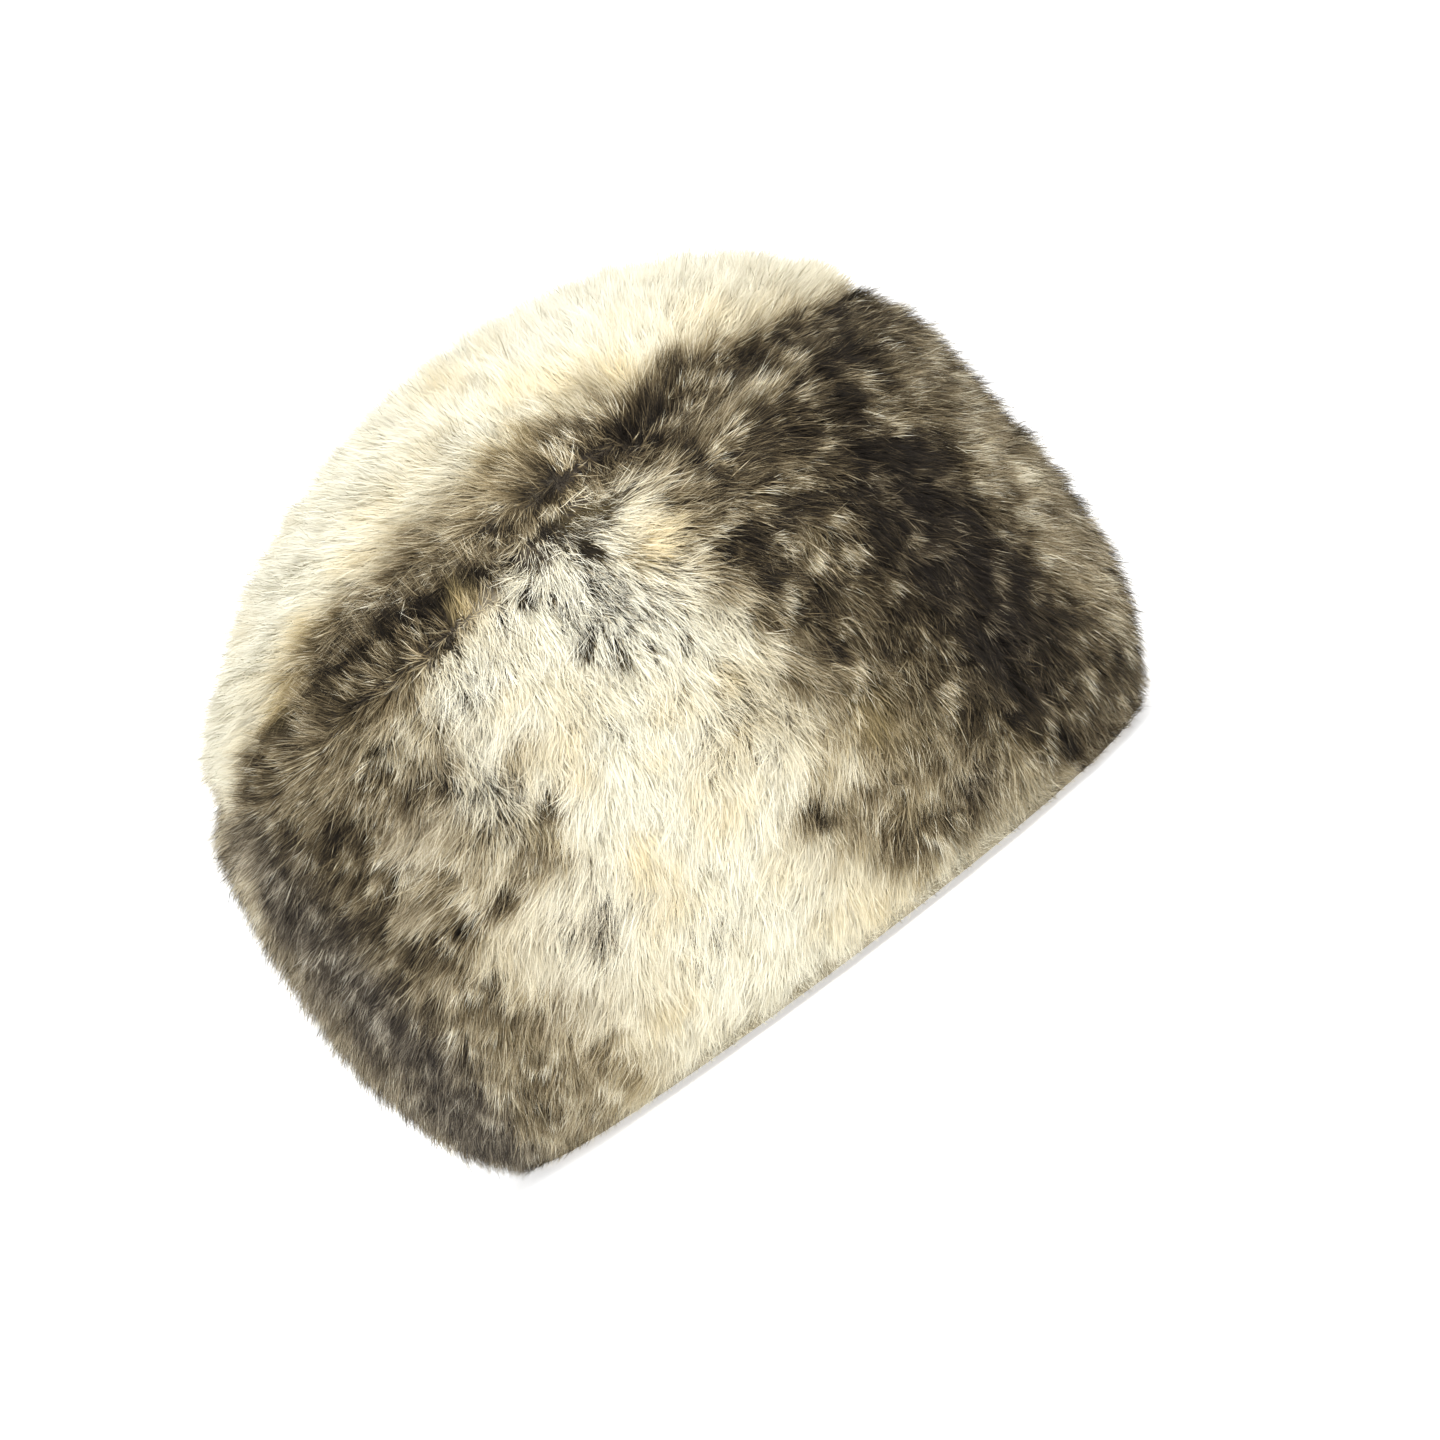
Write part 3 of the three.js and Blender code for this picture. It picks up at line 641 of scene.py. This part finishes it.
# Honey-coloured spots, placed in the same way: x, z, half length, half height, turn, strength
HONEY = [
    (-26, 56, 5, 4, 0, 1.0), (-24, 47.5, 6, 3.5, 0, 0.8), (-28, 37, 8, 4, 0, 0.6),
    (-24, 79, 4, 5, 10, 0.5), (-23, 90, 5, 4, 0, 0.5), (-9, 73, 4, 4, 0, 0.6), (2, 80, 6, 3, 0, 0.7),
    (18, 77, 8, 4, 0, 0.5), (1, 49, 8, 4, 15, 0.7), (-2, 60, 6, 4, 0, 0.4), (0, 27, 6, 4, -30, 0.6),
    (3, 12, 8, 3, 0, 0.4), (-44, 17, 9, 4, 0, 0.5), (-36, 25, 9, 5, 0, 0.4), (-40, 6, 10, 4, 0, 0.3),
    (-29, 107, 7, 4, 0, 0.5), (25, 117, 6, 5, 20, 0.8), (-24, 134, 4, 2.5, 0, 0.6),
    (-76, 144, 9, 3, 20, 0.6), (44, 48, 5, 6, 0, 0.4), (12, 64, 14, 4, 0, 0.3), (20, 7, 10, 4, 0, 0.4),
    (21, 170, 5, 4, 0, 0.7), (31, 164, 5, 5, 0, 0.6), (45, 160, 6, 3, -20, 0.7),
    (72, 157, 10, 5, -30, 0.4), (-40, 161, 8, 3, 0, 0.6), (-62, 155, 9, 3, 10, 0.6),
    (-27, 169, 8, 4, 0, 0.5), (-8, 172, 10, 4, 0, 0.4), (4, 184, 10, 3, 0, 0.5), (14, 160, 12, 5, 0, 0.3),
]
# Where light hair shows black roots and tips, and where the small strong ones paint the clefts and the
# seam's line in the pinch black as shade: x, z, half length, half height, turn, strength
STREAKS_AND_CLEFT_SHADE = [
    (8, 112, 32, 26, 0, 0.46), (-36, 116, 26, 13, 0, 0.42), (-50, 88, 12, 22, -10, 0.45),
    (-46, 45, 16, 14, 30, 0.42), (-26, 26, 16, 14, 40, 0.36), (62, 120, 20, 14, 0, 0.4),
    (16, 70, 26, 24, 0, 0.34), (4, 134, 24, 5, 0, 0.55), (11.5, 125, 2.2, 6, 12, 1.0),
    (19, 132.5, 7, 1.8, -18, 1.0), (5, 135.6, 9, 1.4, 0, 1.0), (-3, 106, 2.4, 6.5, 8, 0.8),
    (1.5, 100.5, 2, 5, 10, 0.8), (8, 95.5, 1.5, 5, 0, 0.8), (17, 91, 1.3, 3.5, 0, 0.8),
    (22, 96, 1.3, 4, 0, 0.7), (12.5, 105, 4, 3.5, 0, 0.7), (-3.5, 120, 1.8, 6, 0, 0.9),
    (-7, 127, 3.5, 1.8, 40, 0.9), (-12, 124, 3, 2, 30, 0.8), (-19, 124, 2.6, 2.6, 0, 0.8),
    (-28, 130, 4, 1.4, 10, 0.8), (-34, 127, 2, 2.2, 0, 1.0), (-42, 128.5, 4, 2, -10, 0.9),
    (-57, 129.6, 7, 1.4, 5, 1.0), (-66, 117, 5, 2, 5, 1.0), (-56, 97, 2.6, 7, 12, 0.9),
    (-62, 104, 5, 2, -30, 0.7), (-10.8, 86, 0.8, 3, -20, 0.8), (33, 112, 1.6, 6, 35, 0.7),
    (30, 128, 6, 1.2, -20, 0.7), (54, 103, 2, 3.5, 0, 0.9), (-43, 89, 2.4, 6, -10, 0.7),
    (-50, 79, 2.6, 5, 30, 0.7), (6, 118, 1.3, 6, 5, 0.7), (17, 116, 1.3, 6, 20, 0.7),
]
BRUSH = 3  # how plainly a painted patch ends: 2 is very soft


def painted(points):
    """The coat at each point, 0 to 1: tone and streaks, both with painted crease shade, honey and coolness.
    """
    seen = as_seen(points)
    swung = points[:, [2, 1, 0]]  # for edges that wander a few millimetres both ways
    sway = np.stack([3 * ripple(points, 5.0, 0.4) + 1.6 * ripple(points, 2.3, 2.1), 0 * points[:, 0],
                     3 * ripple(swung, 5.0, 3.3) + 1.6 * ripple(swung, 2.3, 0.9)], -1)
    near_side, far_side = smooth(-points[:, 1], 0, 30), smooth(points[:, 1], 0, 30)

    def share(x, z, long, high, turn, edge):
        return np.exp(-(ellipse(seen + sway * min(high / 10, 1), x, z, long, high, turn) ** edge))

    ends = smooth(np.abs(points[:, 0]), 70, 110) * smooth(-points[:, 2], -140, -128)
    tone, cool = 0.02 + 0.5 * ends, 0.15 * ends
    for rows, side in ((COAT, near_side), (FAR_COAT, far_side)):
        for *place, dark, cold, cover in rows:
            weight = side * cover * share(*place, BRUSH)
            tone, cool = tone + weight * (dark - tone), cool + weight * (cold - cool)
    honey, streak_and_shade = np.zeros(len(points)), np.zeros(len(points))
    for *place, strength in HONEY:
        honey = np.maximum(honey, (near_side + 0.7 * far_side) * strength * share(*place, 2))
    for *place, strength in STREAKS_AND_CLEFT_SHADE:
        streak_and_shade = np.maximum(streak_and_shade, (near_side + 0.6 * far_side) * strength * share(*place, 2))
    return np.stack([tone, honey, streak_and_shade, cool], -1)


# the cloth between the hairs is as dark as they are, painted crease and cleft shade included
for cloth, bed in ((band_cloth, band_bed), (crown_cloth, crown_bed)):
    coat = painted(thinned(bed).reshape(-1, 3))
    shade_of_bed = np.append(np.maximum(coat[:, 0], coat[:, 2]), np.zeros(len(coat)))
    cloth.data.attributes.new("bed", "FLOAT", "POINT").data.foreach_set("value", shade_of_bed)


def skin(name, bed, nap, lie, side):
    """The bed on one side of the hat as a sheet of points that know where their hair's tip goes."""
    rows, around = bed.shape[:2]
    roots = bed.reshape(-1, 3)
    faces = [f for f in strip_faces(rows, around, False) if side * roots[list(f), 1].mean() > 0]
    made = mesh_of(name, roots, faces)
    tips = walked(roots, nap, lie)
    tips = roots + (tips - roots) * (HEM_LENGTH + (1 - HEM_LENGTH) * smooth(roots[:, 2:], 0, 16))
    seen = walked(roots, nap, 0.35 * lie)
    out = facing_of(tips_at, seen, 3.0)
    for label, kind, values in (
        ("reach", "FLOAT_VECTOR", (tips - roots) / 1000), ("out", "FLOAT_VECTOR", out),
        ("seen", "FLOAT_VECTOR", seen / 1000), ("coat", "FLOAT_COLOR", painted(seen)),
    ):
        field = "color" if kind == "FLOAT_COLOR" else "vector"
        made.data.attributes.new(label, kind, "POINT").data.foreach_set(field, values.ravel())
    return made


def blade(name, outline, faces):
    """One hair as a flat tapering blade, from 0 to 1 in x and bowed in z."""
    mesh = bpy.data.meshes.new(name)
    mesh.from_pydata(outline, [], faces)
    mesh.attributes.new("along", "FLOAT", "POINT").data.foreach_set("value", [x for x, _, _ in outline])
    made = bpy.data.objects.new(name, mesh)
    bpy.context.scene.collection.objects.link(made)
    return made


fine_blade = blade("fine_blade", [(0, -0.5, 0), (0, 0.5, 0), (1, 0, 0)], [(0, 2, 1)])
bent_blade = blade("bent_blade", [(0, -0.5, 0), (0, 0.5, 0), (0.45, 0.42, 1), (0.45, -0.42, 1), (1, 0, 0)],
                   [(0, 3, 2, 1), (3, 4, 2)])


HAIR_SIZES = (
    "Hairs to the square metre", "Width", "Bow", "Shortest", "Longest", "Tuft size", "Tuft pull",
    "Tuft sway", "Lock size", "Lock pull", "Lock sway", "Stray",
)


def hair_tree(material):
    """Geometry nodes that root hairs in a skin and gather their tips into tufts and locks."""
    group = bpy.data.node_groups.new("pile", "GeometryNodeTree")
    for label, kind in (("Skin", "Geometry"), ("Blade", "Object"), *((size, "Float") for size in HAIR_SIZES),
                        ("Seed", "Int")):
        group.interface.new_socket(label, in_out="INPUT", socket_type="NodeSocket" + kind)
    group.interface.new_socket("Pile", in_out="OUTPUT", socket_type="NodeSocketGeometry")
    tree = Tree(group)
    source = group.nodes.new("NodeGroupInput")

    def given(label):
        return Socket(tree, source.outputs[label])

    def stored(label):
        return tree.node("GeometryNodeInputNamedAttribute", {"data_type": "FLOAT_VECTOR"}, {"Name": label})

    def random(low, high, seed):
        return tree.node("FunctionNodeRandomValue", {"data_type": "FLOAT"},
                         {2: low, 3: high, "Seed": given("Seed") + seed}, 1)

    points = tree.node("GeometryNodeDistributePointsOnFaces", None,
                       {"Mesh": given("Skin"), "Density": given("Hairs to the square metre"),
                        "Seed": given("Seed")})
    root = tree.node("GeometryNodeInputPosition")
    reach, out = stored("reach"), stored("out")
    length = random(given("Shortest"), given("Longest"), 1) + 0.3 * random(0.0, 1.0, 7) ** 12.0
    tip = tree.scaled(reach, length)
    chances = []
    for label in ("Tuft", "Lock"):
        cell = tree.node("ShaderNodeTexVoronoi", None,
                         {"Vector": root, "Scale": 1 / given(label + " size")}, 2)
        colour = Socket(tree, cell.out.node.outputs[1])
        chances.append(tree.vector("DOT_PRODUCT", colour, (1.0, 0.0, 0.0), output=1))
        pull = tree.scaled(tree.vector("SUBTRACT", cell, root), given(label + " pull"))
        sway = tree.scaled(tree.vector("SUBTRACT", colour, (0.5, 0.5, 0.5)), given(label + " sway"))
        tip = tree.vector("ADD", tree.vector("ADD", tip, pull), sway)
    stray = tree.node("FunctionNodeRandomValue", {"data_type": "FLOAT_VECTOR"},
                      {0: (-1.0, -1.0, -1.0), 1: (1.0, 1.0, 1.0), "Seed": given("Seed") + 2})
    wild = given("Stray") * (1 + 1.6 * random(0.0, 1.0, 8) ** 10.0)
    tip = tree.vector("ADD", tip, tree.scaled(stray, wild))
    # a hair that would pass the floor is shortened
    height = tree.vector("DOT_PRODUCT", root, (0.0, 0.0, 1.0), output=1)
    fall = tree.vector("DOT_PRODUCT", tip, (0.0, 0.0, -1.0), output=1)
    room = height - random(0.0006, 0.005, 3)
    share = room / fall.sum("MAXIMUM", fall, 1e-5)
    share = share.sum("MINIMUM", share.sum("MAXIMUM", share, 0.05), 1.0)
    falls = fall.sum("GREATER_THAN", fall, 0.0)
    share = 1 + falls * (share - 1)
    kept = tree.scaled(tip, share)
    side = tree.vector("NORMALIZE", tree.vector("CROSS_PRODUCT", out, kept))
    facing = tree.vector("ADD", out, tree.scaled(side, random(-0.8, 0.8, 4)))
    turn = tree.node("FunctionNodeAxesToRotation", {"primary_axis": "X", "secondary_axis": "Z"},
                     {0: kept, 1: facing})
    long = tree.vector("LENGTH", kept, output=1)
    size = tree.node("ShaderNodeCombineXYZ", None,
                     {0: long, 1: given("Width") * random(0.6, 1.3, 5), 2: long * given("Bow")})
    chance = tree.node("ShaderNodeCombineXYZ", None, {0: random(0.0, 1.0, 6), 1: chances[0], 2: chances[1]})
    points = tree.node("GeometryNodeStoreNamedAttribute", {"data_type": "FLOAT_VECTOR"},
                       {"Geometry": points, "Name": "chance", 3: chance})
    hair = tree.node("GeometryNodeObjectInfo", None, {"Object": given("Blade")}, 4)
    hairs = tree.node("GeometryNodeInstanceOnPoints", None,
                      {"Points": points, "Instance": hair, "Rotation": turn, "Scale": size})
    real = tree.node("GeometryNodeRealizeInstances", None, {"Geometry": hairs})
    done = tree.node("GeometryNodeSetMaterial", None, {"Geometry": real, "Material": material})
    output = group.nodes.new("NodeGroupOutput")
    group.links.new(done.out, output.inputs[0])
    return group


# Its colours, by tone
COAT_STOPS = [
    (0.0, (0.92, 0.89, 0.74)), (0.2, (0.80, 0.74, 0.56)), (0.4, (0.44, 0.365, 0.225)),
    (0.6, (0.165, 0.124, 0.066)), (0.8, (0.058, 0.043, 0.023)), (1.0, (0.013, 0.010, 0.007)),
]
HONEY_COLOUR = (0.78, 0.60, 0.27)
COOL_PALE = (0.62, 0.60, 0.55)
COOL_DARK = (0.050, 0.042, 0.038)

# Painted shade in the crease where the near side's pile opens along the seam, placed in the picture too.
# Along the seam: x, z, strength, width
CREASE_SHADE = [
    (-104, 123.5, 0.3, 1.6), (-95, 131, 0.4, 1.6), (-86, 137, 0.5, 1.6), (-76, 139, 0.5, 1.7),
    (-56, 140.5, 0.6, 1.6), (-42, 140, 0.8, 1.8), (-30, 139.5, 1.0, 2.3), (-20, 138, 1.1, 2.3),
    (-12, 136.0, 0.8, 2.0), (-5, 135.6, 0.6, 1.4), (0, 135.8, 0.9, 1.2), (12, 135.4, 1.0, 1.3),
    (17, 133.8, 0.95, 1.5), (24, 131.8, 0.8, 1.3), (30, 130.4, 0.6, 1.2), (34, 130, 0.0, 1.2),
]
# and painted shade in single clefts: x, z, half length, half height, turn, strength
CLEFT_SHADE = [
    (11, 125.5, 1.7, 6, 24, 1.3), (6, 130, 1.1, 3, 20, 1.0), (-3.6, 107, 0.9, 6.5, 8, 0.75),
    (1.2, 101, 0.9, 5, 10, 0.7), (-4, 119, 0.7, 6, 0, 0.7), (8, 95.5, 0.8, 4.5, 0, 0.8),
    (9, 109, 0.7, 3, 0, 0.7), (13, 105, 1.4, 1.4, 0, 0.7), (20, 131.5, 5, 1.2, -24, 1.0),
    (-66, 117, 4, 1.2, 5, 0.9), (-34, 127, 1.3, 1.6, 0, 0.9), (-42, 128.5, 3, 1.3, -10, 0.8),
    (-57, 129.6, 6, 0.9, 5, 0.9), (-12, 124, 1.8, 0.9, 35, 0.6),
]


def pile_finish(name):
    """Fur whose tone comes from the painted coat, broken by tufts, single hairs and their roots, and
    darkened by painted shade in the seam's crease and clefts.
    """
    material, tree = finish_of(name)

    def stored(label, output):
        return tree.node("ShaderNodeAttribute", {"attribute_name": label}, None, output)

    seen, coat, cool = stored("seen", 1), stored("coat", 0), stored("coat", 3)
    chance, along = stored("chance", 0), stored("along", 2)
    tone, honey, streak_and_shade = (tree.node("ShaderNodeSeparateColor", None, {0: coat}, i) for i in range(3))
    hair, tuft, lock = (tree.node("ShaderNodeSeparateColor", None, {0: chance}, i) for i in range(3))
    here = tree.node("ShaderNodeTexCoord", None, None, 3)
    jitter = tree.node("ShaderNodeTexNoise", None, {0: here, 2: 260.0, 3: 2.0}, 1)
    jitter = tree.vector("MULTIPLY_ADD", jitter, (0.003, 0.003, 0.003), (-0.0015, -0.0015, -0.0015))
    around = tree.vector("ADD", here, jitter)
    # where it stands in the picture, as as_seen has it
    x, y, z = (tree.node("ShaderNodeSeparateXYZ", None, {0: around}, i) for i in range(3))
    near = 1000 / (1 + y / DISTANCE)
    x = 1000 * float(aim[0]) + (x - float(aim[0])) * near
    z = AIM_HEIGHT + (z - float(aim[2]) + math.tan(LOOK_DOWN) * y) * near
    # painted shade in the seam's crease, from a ramp that holds its height, strength and width, and then in
    # the clefts
    first, last = CREASE_SHADE[0][0], CREASE_SHADE[-1][0]
    stops = [((at - first) / (last - first), ((rise - 120) / 25, strength, width / 5))
             for at, rise, strength, width in CREASE_SHADE]
    line = tree.node("ShaderNodeValToRGB", {"stops": stops}, {0: (x - first) / (last - first)})
    rise, strength, width = (tree.node("ShaderNodeSeparateColor", None, {0: line}, i) for i in range(3))
    apart = (z - 120 - 25 * rise) / (5 * width)
    seam_and_cleft_shade = strength * apart.sum("EXPONENT", -1 * apart * apart) * x.between(first - 6, first)
    for at, rise, long, high, turn, depth in CLEFT_SHADE:
        c, s = math.cos(math.radians(turn)), math.sin(math.radians(turn))
        along_x = c / long * (x - at) + s / long * (z - rise)
        along_z = c / high * (z - rise) - s / high * (x - at)
        reach = -1 * (along_x * along_x + along_z * along_z)
        seam_and_cleft_shade = seam_and_cleft_shade.sum("MAXIMUM", seam_and_cleft_shade, depth * reach.sum("EXPONENT", reach))
    seam_and_cleft_shade = seam_and_cleft_shade * (-1000 * y).between(20, 50)
    # frost and dapples on the brown parts, then what differs from tuft to tuft and hair to hair
    place = tree.node("ShaderNodeMix", {"data_type": "VECTOR"}, {0: 0.65, 4: seen, 5: here}, 1)
    mottle = tree.node("ShaderNodeTexNoise", None, {0: place, 2: 130.0, 3: 3.0, 4: 0.6})
    dapple = tree.node("ShaderNodeTexNoise", None, {0: place, 2: 95.0, 3: 2.0, 4: 0.5, 8: 0.6})
    patch = tree.node("ShaderNodeTexNoise", None, {0: seen, 2: 40.0, 3: 2.0, 4: 0.5})
    brown = tone.between(0.2, 0.55)
    frost = (mottle + 0.08 * (lock - 0.5)).between(0.53, 0.64)
    dark = (dapple + 0.08 * (tuft - 0.5)).between(0.52, 0.63)
    tone = tone + brown * (0.16 - 0.36 * frost + 0.18 * dark) + 0.14 * (patch - 0.5)
    tone = tone + (0.10 + 0.16 * brown) * (tuft - 0.5) + (0.18 + 0.34 * brown) * (hair - 0.5)
    tone = tone - brown * 0.24 * hair.between(0.84, 0.92)
    # darker roots, partly their own colour and partly painted shade, paler ends, black roots and tips where
    # the streaks are, and painted black shade where the crease and clefts are
    root = (1 - along) ** 1.5
    tone = tone + (0.13 + 0.25 * brown) * root - brown * 0.12 * along.between(0.5, 0.9)
    black = 1.25 * streak_and_shade + 0.5 * (tuft - 0.5) + 0.35 * (hair - 0.5) + 0.25 * (0.6 - along)
    ragged = seam_and_cleft_shade * (1.1 - 0.45 * along) + 0.2 * (tuft - 0.5) - hair
    tone = tone + 0.95 * black.between(0.55, 0.75) + 1.15 * ragged.between(0.12, 0.4)
    honey = honey + 0.2 * patch.between(0.5, 0.68) * (1 - brown)
    colour = tree.node("ShaderNodeValToRGB", {"stops": COAT_STOPS}, {0: tone})
    colour = tree.mix(honey * (0.5 + 0.45 * tuft) * (1 - 0.5 * root), colour, HONEY_COLOUR)
    colour = tree.mix(cool * 0.5, colour, tree.mix(tone.between(0.2, 0.9), COOL_PALE, COOL_DARK))
    shade(tree, Base_Color=colour, Roughness=0.55 + 0.25 * hair, Specular_IOR_Level=0.12)
    return material


CELL_MARGIN = 0.04


def grown(name, bare, settings, group, cells):
    """The hairs of one layer as a plain mesh, each in a cell of its own on the UV map and with the
    normals of the coat that it lies in."""
    hairs = bpy.data.objects.new(name + "_growing", bare.data)
    bpy.context.scene.collection.objects.link(hairs)
    modifier = hairs.modifiers.new("pile", "NODES")
    modifier.node_group = group
    for item in group.interface.items_tree:
        if item.in_out == "INPUT" and item.name in settings:
            modifier[item.identifier] = settings[item.name]
    depsgraph = bpy.context.evaluated_depsgraph_get()
    mesh = bpy.data.meshes.new_from_object(hairs.evaluated_get(depsgraph), depsgraph=depsgraph)
    bpy.data.objects.remove(hairs)
    mesh.name = name
    shape = np.array([v.co[:2] for v in settings["Blade"].data.vertices])
    corner_vertex = np.zeros(len(mesh.loops), np.int32)
    mesh.loops.foreach_get("vertex_index", corner_vertex)
    number, corner = np.divmod(corner_vertex, len(shape))
    cell = np.stack([number % cells[0], number // cells[0]], -1)
    inside = np.stack([shape[corner, 1] + 0.5, shape[corner, 0]], -1)
    places = (cell + CELL_MARGIN + (1 - 2 * CELL_MARGIN) * inside) / cells
    mesh.uv_layers.new(name="OFBake").data.foreach_set("uv", places.astype(np.float32).ravel())
    out = np.zeros(len(mesh.vertices) * 3, np.float32)
    mesh.attributes["out"].data.foreach_get("vector", out)
    chance = np.zeros(len(mesh.vertices) * 3, np.float32)
    mesh.attributes["chance"].data.foreach_get("vector", chance)
    normals = unit(out.reshape(-1, 3) + 0.5 * (chance.reshape(-1, 3) - 0.5))
    mesh.normals_split_custom_set_from_vertices(normals.tolist())
    for label in ("out", "reach"):
        mesh.attributes.remove(mesh.attributes[label])
    made = bpy.data.objects.new(name, mesh)
    bpy.context.scene.collection.objects.link(made)
    return made


pile = pile_finish("fur_pile")
group = hair_tree(pile)
UNDERFUR = {
    "Blade": fine_blade, "Hairs to the square metre": 4.32e6, "Width": 0.00025, "Bow": 0.0,
    "Shortest": 0.74, "Longest": 1.02, "Tuft size": 0.0016, "Tuft pull": 0.35, "Tuft sway": 0.0024,
    "Lock size": 0.0055, "Lock pull": 0.2, "Lock sway": 0.0045, "Stray": 0.0018, "Seed": 3,
}
GUARD_HAIR = {
    "Blade": bent_blade, "Hairs to the square metre": 1.12e6, "Width": 0.00018, "Bow": 0.14,
    "Shortest": 0.84, "Longest": 1.14, "Tuft size": 0.0016, "Tuft pull": 0.4, "Tuft sway": 0.0024,
    "Lock size": 0.0055, "Lock pull": 0.2, "Lock sway": 0.0045, "Stray": 0.0027, "Seed": 40,
}
# each layer with the cells that its hairs have on the UV map
LAYERS = (("underfur_", UNDERFUR, (512, 384)), ("guard_hair_", GUARD_HAIR, (512, 128)))
for side, label in ((-1, "right"), (1, "left")):
    bare = skin("band_skin_" + label, band_bed, band_nap, PILE_LIE, side)
    for layer, settings, cells in LAYERS:
        hair = grown("band_" + layer + label, bare, settings, group, cells)
        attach(hair, "root")
        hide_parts("side_band")
    bpy.data.objects.remove(bare)


# Crown pile
# The same cloth, cut as a dome and sewn to the band. Its pile lies away from the pinch, over the
# top and down the far side, and droops a little at both ends.

CROWN_FROM = np.array([26.0, -92.0, 122.0])
CROWN_DROOP = 0.25  # at both ends, from CROWN_MIDDLE
CROWN_MIDDLE = 8
CROWN_HANG, HANG_REACH = 2.0, 6  # over the seam in the pinch
CROWN_LIE = 5.0
CROWN_SEED = 7  # added to the band's seeds


def crown_nap(points):
    lies = points - CROWN_FROM
    lies[:, 0] *= smooth(np.abs(lies[:, 0]), 0, 45)
    lies = unit(lies)
    lies[:, 2] -= CROWN_DROOP * (np.abs(points[:, 0] - CROWN_MIDDLE) / 100) ** 2
    over_seam = points[:, 2] - seam_height(points[:, 0])
    lies[:, 2] -= CROWN_HANG * in_pinch(points) * np.exp(-((over_seam / HANG_REACH) ** 4))
    return unit(lies)


for side, label in ((-1, "right"), (1, "left")):
    bare = skin("crown_skin_" + label, crown_bed, crown_nap, CROWN_LIE, side)
    for layer, settings, cells in LAYERS:
        own = dict(settings, Seed=settings["Seed"] + CROWN_SEED)
        hair = grown("crown_" + layer + label, bare, own, group, cells)
        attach(hair, "root")
        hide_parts("crown")
    bpy.data.objects.remove(bare)
bpy.data.objects.remove(fine_blade)
bpy.data.objects.remove(bent_blade)


# Studio
# A pale seamless floor that rises behind the hat, and wide soft lights.

FLOOR_REACH = 3000  # to each side
FLOOR_FROM, RISE_FROM = -2200, 1600
RISE_BEND, RISE_HEIGHT = 800, 2000
STEPS = 12

points = []
for i in range(2 * STEPS + 1):
    y = FLOOR_FROM + (RISE_FROM - FLOOR_FROM) * min(i / STEPS, 1)
    angle = math.pi / 2 * max(i - STEPS, 0) / STEPS
    z = RISE_BEND * (1 - math.cos(angle)) + (RISE_HEIGHT if i == 2 * STEPS else 0)
    points += [(x, y + RISE_BEND * math.sin(angle), z) for x in (-FLOOR_REACH, FLOOR_REACH)]
floor = mesh_of("floor", np.array(points),
                [(2 * i, 2 * i + 1, 2 * i + 3, 2 * i + 2) for i in range(2 * STEPS)])
floor.data.shade_smooth()
paper, tree = finish_of("pale_paper")
shade(tree, Base_Color=(0.86, 0.86, 0.86, 1), Roughness=0.9, Emission_Color=(1, 1, 1, 1),
      Emission_Strength=0.55)
floor.data.materials.append(paper)

world = bpy.data.worlds.new("studio")
world.use_nodes = True
background = world.node_tree.nodes["Background"]
background.inputs["Color"].default_value = (1, 1, 1, 1)
background.inputs["Strength"].default_value = 0.92
bpy.context.scene.world = world


def soft_light(name, place, size, power):
    lamp = bpy.data.lights.new(name, "AREA")
    lamp.energy, lamp.size = power, size
    made = bpy.data.objects.new(name, lamp)
    bpy.context.scene.collection.objects.link(made)
    out = unit(np.array(place) - SEEN_MIDDLE)
    aside = unit(np.cross([0.0, 0.0, 1.0], out))
    turned = np.eye(4)
    turned[:3, 0], turned[:3, 1], turned[:3, 2], turned[:3, 3] = aside, np.cross(out, aside), out, place
    made.matrix_world = turned.T.tolist()


soft_light("key", (0.6, -1.3, 1.1), 1.0, 26)
soft_light("fill", (-1.2, -1.2, 0.7), 1.2, 12)

bpy.context.scene.view_settings.view_transform = "Standard"
